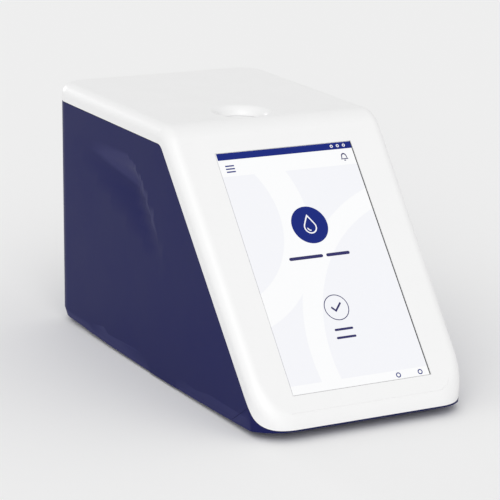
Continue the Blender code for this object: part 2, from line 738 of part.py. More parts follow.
def top_front_cover():
    """Top and front in one shell, with the screen's opening and ledge and the recess over the well."""
    above = [(-HALF_DEPTH - OVERRUN, BODY_HEIGHT + OVERRUN), (HALF_DEPTH + OVERRUN, BODY_HEIGHT + OVERRUN)]
    cover = shell("top_front_cover", cover_edge(FIT_GAP / 2) + above, shell_cavity, WHITE_PLASTIC)
    screen_end = SCREEN_START + SCREEN_LENGTH
    seat = GLASS_THICKNESS + FIT_GAP
    combine(
        cover,
        "DIFFERENCE",
        block(
            "screen_opening",
            (-SCREEN_WIDTH / 2 - FIT_GAP, SCREEN_START - FIT_GAP, -OVERRUN),
            (SCREEN_WIDTH / 2 + FIT_GAP, screen_end + FIT_GAP, seat),
            frame=FACE,
        ),
        block(
            "screen_window",
            (-SCREEN_WIDTH / 2 + LEDGE_WIDTH, SCREEN_START + LEDGE_WIDTH, 0),
            (SCREEN_WIDTH / 2 - LEDGE_WIDTH, screen_end - LEDGE_WIDTH, WALL + OVERRUN),
            frame=FACE,
        ),
    )
    collar = rod(
        "recess_collar",
        (WELL_X, WELL_Y, THROAT_BOTTOM),
        (WELL_X, WELL_Y, BODY_HEIGHT - WALL / 2),
        RECESS_COLLAR,
        RECESS_STEPS,
    )
    half_drop = THROAT_DROP / 2
    half_run = (RECESS_RADIUS - THROAT_RADIUS) / 2
    funnel = turned(
        "recess_funnel",
        [
            (0, BODY_HEIGHT + OVERRUN),
            (RECESS_RADIUS, BODY_HEIGHT + OVERRUN),
            (RECESS_RADIUS, BODY_HEIGHT),
            (THROAT_RADIUS + half_run, BODY_HEIGHT - half_drop / 2),
            (THROAT_RADIUS + half_run / 2, BODY_HEIGHT - half_drop),
            (THROAT_RADIUS, THROAT_BOTTOM + half_drop / 2),
            (THROAT_RADIUS, THROAT_BOTTOM - OVERRUN),
            (0, THROAT_BOTTOM - OVERRUN),
        ],
        (WELL_X, WELL_Y, 0),
        RECESS_STEPS,
    )
    combine(cover, "UNION", collar)
    combine(cover, "DIFFERENCE", funnel)
    for index, (across, along) in enumerate(tray_ear_places()):
        post = rod(
            f"tray_post_{index + 1}",
            (across, along, TRAY_TOP + FIT_GAP),
            (across, along, BODY_HEIGHT - WALL / 2),
            TRAY_POST_RADIUS,
            POST_SIDES,
        )
        combine(cover, "UNION", post)
    for index, (across, down) in enumerate(bracket_posts()):
        post = rod(
            f"bracket_post_{index + 1}",
            in_face(across, down, WALL / 2),
            in_face(across, down, bracket_depth() - FIT_GAP),
            POST_RADIUS,
            POST_SIDES,
        )
        combine(cover, "UNION", post)
    return cover


def bracket_depth():
    """How far the display bracket's front lies behind the slope."""
    return WALL + FIT_GAP + LCD_THICKNESS + FIT_GAP


def bracket_posts():
    """Where the cover's posts hold the display bracket: across and down the slope."""
    across = SCREEN_WIDTH / 2 + LCD_MARGIN + BRACKET_MARGIN - POST_INSET
    ends = (SCREEN_START + POST_END_INSET, SCREEN_START + SCREEN_LENGTH - POST_END_INSET)
    return [(side * across, down) for side in (-1, 1) for down in ends]


# Touch screen


def touch_glass():
    """The glass front of the screen, flush in the cover's opening."""
    return block(
        "touch_glass",
        (-SCREEN_WIDTH / 2, SCREEN_START, 0),
        (SCREEN_WIDTH / 2, SCREEN_START + SCREEN_LENGTH, GLASS_THICKNESS),
        SCREEN_GLASS,
        FACE,
    )


def lcd_module():
    """The display behind the ledge, with the ribbon's connector on its lower edge."""
    front = WALL + FIT_GAP
    start = SCREEN_START - LCD_MARGIN
    end = SCREEN_START + SCREEN_LENGTH + LCD_MARGIN
    across, along, thickness = LCD_CONNECTOR
    lcd = block(
        "lcd_module",
        (-SCREEN_WIDTH / 2 - LCD_MARGIN, start, front),
        (SCREEN_WIDTH / 2 + LCD_MARGIN, end, front + LCD_THICKNESS),
        GREY_PLASTIC,
        FACE,
        LCD_BEVEL,
    )
    connector = block(
        "lcd_connector",
        (-across / 2, end - along, front + LCD_THICKNESS / 2 - thickness / 2),
        (across / 2, end + along, front + LCD_THICKNESS / 2 + thickness / 2),
        frame=FACE,
    )
    return combine(lcd, "UNION", connector)


def display_bracket():
    """The slotted metal sheet that clamps the display against the cover."""
    half_across = SCREEN_WIDTH / 2 + LCD_MARGIN + BRACKET_MARGIN
    half_along = SCREEN_LENGTH / 2 + BRACKET_END_MARGIN
    middle = SCREEN_START + SCREEN_LENGTH / 2
    loops = [rectangle(half_across, half_along, BRACKET_CORNER, centre=(0, middle))]
    slot_across, slot_along = BRACKET_SLOT
    pitch_across, pitch_along = BRACKET_SLOT_PITCH
    for column in (-1, 0, 1):
        for row in range(BRACKET_SLOT_ROWS):
            down = middle + (row - (BRACKET_SLOT_ROWS - 1) / 2) * pitch_along
            centre = (column * pitch_across, down)
            slot_round = slot_along / 2 * FULL_ROUND_SHARE
            loops.append(rectangle(slot_across / 2, slot_along / 2, slot_round, centre=centre))
    level = bracket_depth() + BRACKET_THICKNESS / 2
    return outline("display_bracket", loops, BRACKET_THICKNESS, FACE, level, STEEL)


# Blue housing


def side_point(height, along, depth):
    """A place at a depth under the left side's drafted face."""
    return Vector((depth - half_width(height), along, height))


def grip_pyramid(name, shift, start):
    """The grip's three-sided hollow, moved inward by a shift, with its open end at a start depth."""
    top_edge = Vector((1, 0))
    front_edge = Vector((-GRIP_FOOT_REACH, -GRIP_FOOT_DROP)).normalized()
    half_angle = math.acos(top_edge.dot(front_edge)) / 2
    deepest = Vector((GRIP_CORNER_Y, GRIP_TOP_HEIGHT)) + (top_edge + front_edge).normalized() * (
        GRIP_DEPTH / math.sin(half_angle)
    )
    apex = side_point(deepest.y, deepest.x, GRIP_DEPTH + shift)
    rim = [
        side_point(GRIP_TOP_HEIGHT, GRIP_CORNER_Y + GRIP_LENGTH, shift),
        side_point(GRIP_TOP_HEIGHT, GRIP_CORNER_Y, shift),
        side_point(GRIP_TOP_HEIGHT - GRIP_FOOT_DROP, GRIP_CORNER_Y - GRIP_FOOT_REACH, shift),
    ]
    grow = (GRIP_DEPTH + shift - start) / GRIP_DEPTH
    form = bmesh.new()
    form.verts.new(apex)
    for corner in rim:
        form.verts.new(apex + (corner - apex) * grow)
    bmesh.ops.convex_hull(form, input=form.verts)
    return place(name, mesh_from(name, form), PLAN_VIEW, None)


def mirrored(item):
    """Mirrors a left-hand cutter to the right, as a second body of the same object."""
    mirror = item.modifiers.new("other side", "MIRROR")
    mirror.use_mirror_merge = False
    return item


def skirt_place(along, height, inset):
    """A place at an inset under the left side, or past the corner under the rear, by its way along them."""
    reach = REAR_CORNER_RADIUS
    corner_start = HALF_DEPTH - reach
    turn = max(0.0, min(math.pi / 2, (along - corner_start) / reach))
    outward = Vector((-math.cos(turn), math.sin(turn), 0))
    place_on = Vector((reach - half_width(height), corner_start, height)) + outward * (reach - inset)
    if along < corner_start:
        place_on.y = along
    elif along > corner_start + reach * math.pi / 2:
        place_on.x += along - corner_start - reach * math.pi / 2
    return place_on


def facet_cutter(name, stations):
    """A strip along the foot of the side that cuts a facet through stations: a way, a top and an inset."""
    form = bmesh.new()
    rings = []
    for along, top, inset in stations:
        slope = inset / (top - SIDE_EDGE_HEIGHT)
        clear = 0 if inset else FIT_GAP
        section = (
            (top + OVERRUN, -slope * OVERRUN - clear),
            (-OVERRUN, inset + slope * (OVERRUN + SIDE_EDGE_HEIGHT) - clear),
            (-OVERRUN, -OVERRUN),
            (top + OVERRUN, -OVERRUN),
        )
        rings.append([form.verts.new(skirt_place(along, height, depth)) for height, depth in section])
    for ring, following in zip(rings, rings[1:]):
        for index in range(len(ring)):
            other = (index + 1) % len(ring)
            form.faces.new((ring[index], ring[other], following[other], following[index]))
    form.faces.new(rings[0])
    form.faces.new(rings[-1])
    return mirrored(place(name, mesh_from(name, form), PLAN_VIEW, None))


def rear_facet():
    """The facet from the plain land in the middle of the side, round the rear corner."""
    start, corner_start = FACET_LAND_Y[1], HALF_DEPTH - REAR_CORNER_RADIUS
    corner_length = REAR_CORNER_RADIUS * math.pi / 2
    stations = []
    for way_share, inset_share in REAR_FACET_SHARES:
        stations.append((start + (corner_start - start) * way_share, FACET_TOP, FACET_INSET * inset_share))
    for step in range(1, FACET_CORNER_STEPS + 1):
        along = corner_start + corner_length * step / FACET_CORNER_STEPS
        stations.append((along, FACET_TOP, FACET_INSET))
    stations.append((along + FACET_REAR_REACH, FACET_TOP, 0))
    return facet_cutter("rear_facet", stations)


def front_facet():
    """The facet from the plain land forward, over the seam and the nose, which grows taller."""
    start, end = FACET_LAND_Y[0], -HALF_DEPTH
    stations = []
    for way_share, inset_share in FRONT_FACET_SHARES:
        top = FACET_TOP + (FACET_END_TOP - FACET_TOP) * way_share
        stations.append((start + (end - start) * way_share, top, FACET_INSET * inset_share))
    return facet_cutter("front_facet", stations)


facets = (rear_facet(), front_facet())


def on_both_sides(side_inset, end_insets):
    """Four places in plan, at an inset from each side and one from the front and the rear."""
    front, rear = end_insets
    rows = (-HALF_DEPTH + front, HALF_DEPTH - rear)
    return [(side * (HALF_BODY_WIDTH - side_inset), along) for side in (-1, 1) for along in rows]


def screw_places():
    """Where the base screws stand."""
    return on_both_sides(SCREW_SIDE_INSET, SCREW_END_INSETS)


def socket_cutters():
    """Clearance cutters for the sockets that pass through the rear wall."""
    tools = []
    front, rear = HALF_DEPTH - WALL - OVERRUN, HALF_DEPTH + OVERRUN
    for name, across, (width, height) in socket_places():
        reach = width / 2 + SOCKET_GAP
        low = (across - reach, front, SOCKET_BOTTOM - SOCKET_GAP)
        high = (across + reach, rear, SOCKET_BOTTOM + height + SOCKET_GAP)
        tools.append(block(name + "_clearance", low, high))
    return tools


def rear_row():
    """Where the power inlet, the sockets and the button stand across the rear, evenly spaced."""
    items = (
        ("power_inlet", POWER_SOCKET[0]),
        ("usb_socket_2", USB_SOCKET[0]),
        ("usb_socket_1", USB_SOCKET[0]),
        ("network_socket", NETWORK_SOCKET[0]),
        ("power_button", BUTTON_FLANGE_RADIUS * 2),
    )
    reach = HALF_BODY_WIDTH - REAR_CORNER_RADIUS
    gap = (reach * 2 - sum(width for _, width in items)) / (len(items) + 1)
    row, edge = {}, -reach
    for name, width in items:
        row[name] = edge + gap + width / 2
        edge += gap + width
    return row


def socket_places():
    """Each socket's name, place across the rear, and face."""
    faces = {
        "network_socket": NETWORK_SOCKET,
        "usb_socket_1": USB_SOCKET,
        "usb_socket_2": USB_SOCKET,
        "power_inlet": POWER_SOCKET,
    }
    return [(name, rear_row()[name], face) for name, face in faces.items()]


def main_housing():
    """Both sides and the rear in one shell, with grips, facets, screw bosses and the rear's openings."""
    seam_top, seam_foot = seam_line(FIT_GAP / 2)
    rim = cover_edge(-FIT_GAP / 2)
    split = [point for point in rim if point[1] > seam_top[1]]
    zone = split + [seam_top, seam_foot, (HALF_DEPTH + OVERRUN, FLOOR - OVERRUN)]
    housing = shell("main_housing", zone, shell_cavity, BLUE_PLASTIC)
    grip_wall = grip_pyramid("grip_back", GRIP_BACK_WALL, GRIP_BOSS_START)
    combine(grip_wall, "INTERSECT", outer_form)
    combine(housing, "UNION", mirrored(grip_wall))
    combine(housing, "DIFFERENCE", mirrored(grip_pyramid("grip_hollow", 0.0, -OVERRUN)))
    combine(housing, "DIFFERENCE", *facets)
    for index, (across, along) in enumerate(screw_places()):
        boss = rod(
            f"screw_boss_{index + 1}",
            (across, along, INNER_FLOOR + FIT_GAP),
            (across, along, INNER_FLOOR + BOSS_HEIGHT),
            BOSS_RADIUS,
            BOSS_STEPS,
        )
        combine(boss, "INTERSECT", outer_form)
        bore = rod(
            f"screw_bore_{index + 1}",
            (across, along, FLOOR),
            (across, along, FLOOR + BASE_SCREW_LENGTH + FIT_GAP),
            BASE_SCREW_RADIUS + FIT_GAP,
            POST_SIDES,
        )
        combine(housing, "UNION", boss)
        combine(housing, "DIFFERENCE", bore)
    combine(housing, "DIFFERENCE", *socket_cutters())
    button_x = rear_row()["power_button"]
    button_hole = rod(
        "button_hole",
        (button_x, HALF_DEPTH - WALL - OVERRUN, BUTTON_HEIGHT),
        (button_x, HALF_DEPTH + OVERRUN, BUTTON_HEIGHT),
        BUTTON_RADIUS + BUTTON_CLEARANCE,
        BUTTON_STEPS,
    )
    return combine(housing, "DIFFERENCE", button_hole)


# Base


def base_plate():
    """The bottom plate between the housing's walls, with the nose that turns up under the cover's lip."""
    seam_top, seam_foot = seam_line(-FIT_GAP / 2)
    rim = cover_edge(-FIT_GAP / 2)
    ahead = [point for point in rim if point[1] < seam_top[1]]
    zone = [seam_foot, seam_top] + ahead + [(-HALF_DEPTH - OVERRUN, FLOOR - OVERRUN)]
    base = shell("base_plate", zone, nose_cavity, BLUE_PLASTIC)
    plate = block(
        "floor_slab",
        (-BODY_WIDTH, NOSE_SEAM_FOOT_Y - BASE_OVERLAP, FLOOR - OVERRUN),
        (BODY_WIDTH, HALF_DEPTH, INNER_FLOOR),
    )
    combine(plate, "INTERSECT", plate_form)
    combine(base, "DIFFERENCE", facets[1])
    combine(base, "UNION", plate)
    tools = []
    for index, (across, along) in enumerate(screw_places()):
        head_seat = FLOOR + BASE_SCREW_HEAD_HEIGHT + FIT_GAP
        tools.append(
            rod(
                f"head_seat_{index + 1}",
                (across, along, FLOOR - OVERRUN),
                (across, along, head_seat),
                BASE_SCREW_HEAD_RADIUS + FIT_GAP,
                POST_SIDES,
            )
        )
        tools.append(
            rod(
                f"shank_hole_{index + 1}",
                (across, along, FLOOR),
                (across, along, INNER_FLOOR + OVERRUN),
                BASE_SCREW_RADIUS + FIT_GAP,
                POST_SIDES,
            )
        )
    for index, (across, along) in enumerate(foot_places()):
        tools.append(
            rod(
                f"foot_pocket_{index + 1}",
                (across, along, FLOOR - OVERRUN),
                (across, along, FLOOR + FOOT_POCKET),
                FOOT_RADIUS + FIT_GAP,
                FOOT_STEPS,
            )
        )
    for index in range(SLOT_COUNT):
        along = SPEAKER_Y + (index - (SLOT_COUNT - 1) / 2) * SLOT_PITCH
        tools.append(
            block(
                f"sound_slot_{index + 1}",
                (SPEAKER_X - SLOT_LENGTH / 2, along - SLOT_WIDTH / 2, FLOOR - OVERRUN),
                (SPEAKER_X + SLOT_LENGTH / 2, along + SLOT_WIDTH / 2, INNER_FLOOR + OVERRUN),
            )
        )
    combine(base, "DIFFERENCE", *tools)
    for index, (across, along) in enumerate(board_pillars()):
        pillar = rod(
            f"board_pillar_{index + 1}",
            (across, along, INNER_FLOOR - WALL / 2),
            (across, along, BOARD_HEIGHT - FIT_GAP),
            BOARD_PILLAR_RADIUS,
            POST_SIDES,
        )
        combine(base, "UNION", pillar)
    return base


def foot_places():
    """Where the feet stand."""
    return on_both_sides(FOOT_SIDE_INSET, FOOT_END_INSETS)


def feet():
    """Four rubber feet, glued into the base's round pockets."""
    top = FLOOR + FOOT_POCKET - FIT_GAP
    profile = [
        (0, top),
        (FOOT_RADIUS, top),
        (FOOT_RADIUS, FOOT_ROUND),
        (FOOT_RADIUS - FOOT_ROUND / 3, FOOT_ROUND / 3),
        (FOOT_RADIUS - FOOT_ROUND, 0),
        (0, 0),
    ]
    for index, (across, along) in enumerate(foot_places()):
        turned(f"foot_{index + 1}", profile, (across, along, 0), FOOT_STEPS, RUBBER)


def base_screws():
    """Four screws, up through the base into the housing's bosses."""
    head = FLOOR + BASE_SCREW_HEAD_HEIGHT
    tip = FLOOR + BASE_SCREW_LENGTH
    profile = [
        (0, tip),
        (BASE_SCREW_RADIUS, tip),
        (BASE_SCREW_RADIUS, head),
        (BASE_SCREW_HEAD_RADIUS, head),
        (BASE_SCREW_HEAD_RADIUS, FLOOR + BASE_SCREW_HEAD_HEIGHT / 3),
        (BASE_SCREW_RADIUS, FLOOR),
        (0, FLOOR),
    ]
    for index, (across, along) in enumerate(screw_places()):
        turned(f"base_screw_{index + 1}", profile, (across, along, 0), POST_SIDES, STEEL)


# Lid and its drive


def tooth_gap_places():
    """How many whole teeth the rack has on each side of the pinion's place."""
    ahead = int((PINION_Y - LID_FRONT) / TOOTH_PITCH)
    behind = int((RACK_REAR - PINION_Y) / TOOTH_PITCH)
    return range(-ahead, behind)


def lid():
    """The lid, a dished plate in plan outline, with the rack's teeth along its right edge."""
    left = WELL_X - LID_HALF_WIDTH
    root = RACK_PITCH_X - DEDENDUM
    tip = RACK_PITCH_X + ADDENDUM
    half_tooth = TOOTH_PITCH / 4
    lean = math.tan(PRESSURE_ANGLE)
    edge = [(root, LID_FRONT)]
    for number in tooth_gap_places():
        middle = PINION_Y + (number + 0.5) * TOOTH_PITCH
        edge += [
            (root, middle - half_tooth - DEDENDUM * lean),
            (tip, middle - half_tooth + ADDENDUM * lean),
            (tip, middle + half_tooth - ADDENDUM * lean),
            (root, middle + half_tooth + DEDENDUM * lean),
        ]
    bar_inner = RACK_PITCH_X - DEDENDUM - RACK_REACH
    edge += [(root, RACK_REAR), (bar_inner, RACK_REAR), (bar_inner, LID_REAR), (left, LID_REAR)]
    edge += [(left, LID_FRONT)]
    edge = [(across - WELL_X, along - WELL_Y) for across, along in edge]
    well = Matrix.Translation((WELL_X, WELL_Y, 0))
    plate = outline("lid", [edge], LID_THICKNESS, well, LID_TOP - LID_THICKNESS / 2, WHITE_PLASTIC)
    dish = turned(
        "lid_dish",
        [
            (0, LID_TOP + OVERRUN),
            (LID_DISH_RADIUS, LID_TOP + OVERRUN),
            (LID_DISH_RADIUS, LID_TOP),
            (LID_DISH_RADIUS / 2, LID_TOP - LID_DISH_DEPTH * 3 / 4),
            (0, LID_TOP - LID_DISH_DEPTH),
        ],
        (WELL_X, WELL_Y, 0),
        RECESS_STEPS,
    )
    return combine(plate, "DIFFERENCE", dish)


def involute(base_radius, radius):
    """The polar angle of an involute of a base circle where it reaches a radius."""
    lift = math.sqrt((radius / base_radius) ** 2 - 1)
    return lift - math.atan(lift)


def pinion_outline():
    """The pinion's teeth: radial below the base circle, involute above it."""
    base_radius = PINION_PITCH_RADIUS * math.cos(PRESSURE_ANGLE)
    root = PINION_PITCH_RADIUS - DEDENDUM
    tip = PINION_PITCH_RADIUS + ADDENDUM
    thickness = TOOTH_PITCH / 2 - BACKLASH
    half_at_pitch = thickness / 2 / PINION_PITCH_RADIUS
    half_at_base = half_at_pitch + involute(base_radius, PINION_PITCH_RADIUS)
    flank = [(root, half_at_base)]
    for step in range(FLANK_STEPS + 1):
        radius = base_radius + (tip - base_radius) * step / FLANK_STEPS
        flank.append((radius, half_at_base - involute(base_radius, radius)))
    points = []
    for tooth in range(PINION_TEETH):
        middle = math.pi + math.tau * tooth / PINION_TEETH
        for radius, half in flank:
            points.append((radius * math.cos(middle - half), radius * math.sin(middle - half)))
        for radius, half in reversed(flank):
            points.append((radius * math.cos(middle + half), radius * math.sin(middle + half)))
    return points


def lid_pinion():
    """The pinion on the motor's shaft, in mesh with the lid's rack."""
    middle = (LID_TOP + LID_BOTTOM) / 2
    axis = Matrix.Translation((PINION_X, PINION_Y, 0))
    pinion = outline("lid_pinion", [pinion_outline()], LID_THICKNESS, axis, middle, GREY_PLASTIC)
    hub = rod(
        "pinion_hub",
        (PINION_X, PINION_Y, middle),
        (PINION_X, PINION_Y, LID_TOP + PINION_HUB_HEIGHT),
        PINION_HUB_RADIUS,
        POST_SIDES,
    )
    combine(pinion, "UNION", hub)
    bore = rod(
        "pinion_bore",
        (PINION_X, PINION_Y, LID_BOTTOM - OVERRUN),
        (PINION_X, PINION_Y, LID_TOP),
        LID_MOTOR_SHAFT_RADIUS + FIT_GAP,
        POST_SIDES,
    )
    return combine(pinion, "DIFFERENCE", bore)


def lid_motor():
    """The small geared motor that hangs under the tray, with its two ears and its shaft."""
    top = TRAY_BOTTOM - FIT_GAP
    motor = rod(
        "lid_motor",
        (PINION_X, PINION_Y, top - LID_MOTOR_HEIGHT),
        (PINION_X, PINION_Y, top),
        LID_MOTOR_RADIUS,
        BUTTON_STEPS,
        GREY_PLASTIC,
    )
    ear = LID_MOTOR_EAR_RADIUS
    ears = outline(
        "lid_motor_ears",
        [rectangle(LID_MOTOR_EAR_REACH + ear, ear, ear * FULL_ROUND_SHARE, centre=(PINION_X, PINION_Y))],
        LID_MOTOR_EAR_THICKNESS,
        PLAN_VIEW,
        top - LID_MOTOR_EAR_THICKNESS / 2,
    )
    shaft = rod(
        "lid_motor_shaft",
        (PINION_X, PINION_Y, top - LID_MOTOR_EAR_THICKNESS),
        (PINION_X, PINION_Y, LID_TOP - FIT_GAP),
        LID_MOTOR_SHAFT_RADIUS,
        POST_SIDES,
    )
    return combine(motor, "UNION", ears, shaft)


def tray_ear_places():
    """Where the tray is held by the cover's posts."""
    left = WELL_X - LID_HALF_WIDTH - LID_CLEARANCE - TRAY_WALL - TRAY_EAR / 2
    right = PINION_X + PINION_PITCH_RADIUS + TRAY_EAR
    front, rear = TRAY_Y
    inset = TRAY_EAR / 2
    return [(left, front + inset), (left, rear - inset), (right, front + inset), (right, rear - inset)]


def lid_tray():
    """The tray that guides the lid: a floor, two walls with lips over the lid's edges, and four ears."""
    left_wall = WELL_X - LID_HALF_WIDTH - LID_CLEARANCE
    right_wall = RACK_PITCH_X + ADDENDUM + LID_CLEARANCE
    front, rear = TRAY_Y
    ears = tray_ear_places()
    left, right = ears[0][0] - TRAY_EAR / 2, ears[2][0] + TRAY_EAR / 2
    floor = rectangle(
        (right - left) / 2,
        (rear - front) / 2,
        TRAY_EAR / 2,
        centre=((left + right) / 2, (front + rear) / 2),
    )
    well = circle(TRAY_HOLE_RADIUS, RECESS_STEPS, (WELL_X, WELL_Y))
    shaft = circle(LID_MOTOR_SHAFT_RADIUS + FIT_GAP, POST_SIDES, (PINION_X, PINION_Y))
    tray = outline(
        "lid_tray",
        [floor, well, shaft],
        TRAY_FLOOR,
        PLAN_VIEW,
        TRAY_TOP - TRAY_FLOOR / 2,
        BLACK_PLASTIC,
    )
    lip_bottom = THROAT_BOTTOM + FIT_GAP / 3
    lip_top = lip_bottom + TRAY_LIP_THICKNESS
    for name, wall, outward in (("left_rail", left_wall, -1), ("right_rail", right_wall, 1)):
        rail = [
            (wall, TRAY_TOP - TRAY_FLOOR / 2),
            (wall, lip_bottom),
            (wall - outward * TRAY_LIP_REACH, lip_bottom),
            (wall - outward * TRAY_LIP_REACH, lip_top),
            (wall + outward * TRAY_WALL, lip_top),
            (wall + outward * TRAY_WALL, TRAY_TOP - TRAY_FLOOR / 2),
        ]
        front_view = Matrix(((1, 0, 0), (0, 0, -1), (0, 1, 0))).to_4x4()
        combine(tray, "UNION", outline(name, [rail], rear - front, front_view, -(front + rear) / 2))
    room = PINION_PITCH_RADIUS + ADDENDUM + TRAY_PINION_ROOM
    pinion_room = rod(
        "pinion_room",
        (PINION_X, PINION_Y, TRAY_TOP),
        (PINION_X, PINION_Y, lip_top + OVERRUN),
        room,
        BUTTON_STEPS,
    )
    return combine(tray, "DIFFERENCE", pinion_room)


# Chassis


def rod_places():
    """Where the two guide rods stand."""
    return [(WELL_X - ROD_SPACING / 2, LIFT_Y), (WELL_X + ROD_SPACING / 2, LIFT_Y)]


def chassis():
    """The C-shaped frame: deck, rear wall and shelf in one bent outline, on four legs."""
    inner_rear = CHASSIS_REAR_Y - CHASSIS_THICKNESS
    points = [
        (CHASSIS_FRONT_Y, DECK_BOTTOM),
        (CHASSIS_FRONT_Y, CHASSIS_DECK_TOP),
        (inner_rear, CHASSIS_DECK_TOP),
        (inner_rear, SHELF_BOTTOM),
        (CHASSIS_SHELF_FRONT_Y, SHELF_BOTTOM),
        (CHASSIS_SHELF_FRONT_Y, SHELF_TOP),
        (CHASSIS_REAR_Y, SHELF_TOP),
        (CHASSIS_REAR_Y, DECK_BOTTOM),
    ]
    outer, inner = CHASSIS_BEND_RADIUS, CHASSIS_BEND_RADIUS - CHASSIS_THICKNESS
    bent = rounded(points, [0, 0, inner, inner, 0, 0, outer, outer], SMALL_CORNER_STEPS)
    width = CHASSIS_HALF_WIDTH * 2
    frame = outline("chassis", [bent], width, SIDE_VIEW, WELL_X, GREY_PLASTIC)
    for side in (-1, 1):
        across = WELL_X + side * (CHASSIS_HALF_WIDTH - CHASSIS_LEG_INSET)
        for along in (CHASSIS_FRONT_Y + CHASSIS_LEG_INSET, CHASSIS_REAR_Y - CHASSIS_LEG_INSET):
            leg = rod(
                "chassis_leg",
                (across, along, INNER_FLOOR + FIT_GAP),
                (across, along, DECK_BOTTOM + CHASSIS_THICKNESS / 2),
                CHASSIS_LEG_RADIUS,
                POST_SIDES,
            )
            combine(frame, "UNION", leg)
    for across, along in rod_places():
        seat = rod(
            "rod_seats",
            (across, along, CHASSIS_DECK_TOP - ROD_SEAT_DEPTH),
            (across, along, SHELF_BOTTOM + ROD_SEAT_DEPTH),
            ROD_RADIUS + FIT_GAP,
            ROD_STEPS,
        )
        combine(frame, "DIFFERENCE", seat)
    tools = (
        rod(
            "shaft_clearance",
            (WELL_X, LIFT_Y, DECK_BOTTOM - OVERRUN),
            (WELL_X, LIFT_Y, CHASSIS_DECK_TOP + OVERRUN),
            LIFT_MOTOR_BOSS_RADIUS + FIT_GAP,
            ROD_STEPS,
        ),
        rod(
            "journal_hole",
            (WELL_X, LIFT_Y, SHELF_BOTTOM - OVERRUN),
            (WELL_X, LIFT_Y, SHELF_TOP + OVERRUN),
            SCREW_JOURNAL_RADIUS + FIT_GAP,
            ROD_STEPS,
        ),
        rod(
            "drain_hole",
            (WELL_X, WELL_Y, DECK_BOTTOM - OVERRUN),
            (WELL_X, WELL_Y, CHASSIS_DECK_TOP + OVERRUN),
            CUP_BORE_RADIUS,
            CUP_STEPS,
        ),
        block(
            "wall_window",
            (
                WELL_X - CHASSIS_WINDOW_WIDTH / 2,
                inner_rear - CHASSIS_THICKNESS,
                CHASSIS_DECK_TOP + CHASSIS_WINDOW_RISE,
            ),
            (
                WELL_X + CHASSIS_WINDOW_WIDTH / 2,
                CHASSIS_REAR_Y + CHASSIS_THICKNESS,
                CHASSIS_DECK_TOP + CHASSIS_WINDOW_RISE + CHASSIS_WINDOW_HEIGHT,
            ),
        ),
    )
    return combine(frame, "DIFFERENCE", *tools)


# Measuring unit


def heater_block():
    """The heated aluminium block with the cuvette's bore and the light path across it."""
    heater = block(
        "heater_block",
        (WELL_X - BLOCK_HALF_WIDTH, WELL_Y - BLOCK_FRONT, BLOCK_BOTTOM),
        (WELL_X + BLOCK_HALF_WIDTH, WELL_Y + BLOCK_REAR, BLOCK_TOP),
        ALUMINIUM,
        bevel=BLOCK_BEVEL,
    )
    bore = rod(
        "cuvette_bore",
        (WELL_X, WELL_Y, BLOCK_BOTTOM - OVERRUN),
        (WELL_X, WELL_Y, BLOCK_TOP + OVERRUN),
        BLOCK_BORE_RADIUS,
        BLOCK_BORE_STEPS,
    )
    path = rod(
        "light_path",
        (WELL_X - BLOCK_HALF_WIDTH - OVERRUN, WELL_Y, LIGHT_Z),
        (WELL_X + BLOCK_HALF_WIDTH + OVERRUN, WELL_Y, LIGHT_Z),
        LIGHT_PATH_RADIUS,
        POST_SIDES,
    )
    return combine(heater, "DIFFERENCE", bore, path)


def light_source():
    """The lamp housing on the block's left, with a flange and the lens's socket."""
    face = WELL_X - BLOCK_HALF_WIDTH - FIT_GAP
    profile = [
        (0, SOURCE_LENGTH),
        (SOURCE_RADIUS, SOURCE_LENGTH),
        (SOURCE_RADIUS, SOURCE_FLANGE_LENGTH),
        (SOURCE_FLANGE_RADIUS, SOURCE_FLANGE_LENGTH),
        (SOURCE_FLANGE_RADIUS, 0),
        (SOURCE_SOCKET_RADIUS, 0),
        (SOURCE_SOCKET_RADIUS, SOURCE_SOCKET_DEPTH),
        (0, SOURCE_SOCKET_DEPTH),
    ]
    return turned(
        "light_source", profile, (face, WELL_Y, LIGHT_Z), BUTTON_STEPS, BLACK_PLASTIC, (-1, 0, 0)
    )


def condenser_lens():
    """The lens in the light source's socket, crowned on both faces."""
    face = WELL_X - BLOCK_HALF_WIDTH - FIT_GAP
    middle = SOURCE_SOCKET_DEPTH - FIT_GAP - LENS_CROWN - LENS_EDGE / 2
    half = LENS_EDGE / 2
    profile = [
        (0, half + LENS_CROWN),
        (LENS_RADIUS / 2, half + LENS_CROWN * 3 / 4),
        (LENS_RADIUS, half),
        (LENS_RADIUS, -half),
        (LENS_RADIUS / 2, -half - LENS_CROWN * 3 / 4),
        (0, -half - LENS_CROWN),
    ]
    return turned(
        "condenser_lens", profile, (face - middle, WELL_Y, LIGHT_Z), BUTTON_STEPS, CLEAR_GLASS, (-1, 0, 0)
    )


def detector_board():
    """The detector on the block's right: a small board with its can towards the light path."""
    face = WELL_X + BLOCK_HALF_WIDTH + FIT_GAP
    thickness, across, height = DETECTOR_BOARD
    board = block(
        "detector_board",
        (face + DETECTOR_CAN_HEIGHT, WELL_Y - across / 2, LIGHT_Z - height / 2),
        (face + DETECTOR_CAN_HEIGHT + thickness, WELL_Y + across / 2, LIGHT_Z + height / 2),
        BOARD_GREEN,
    )
    can = rod(
        "detector_can",
        (face, WELL_Y, LIGHT_Z),
        (face + DETECTOR_CAN_HEIGHT + thickness / 2, WELL_Y, LIGHT_Z),
        DETECTOR_CAN_RADIUS,
        ROD_STEPS,
    )
    return combine(board, "UNION", can)


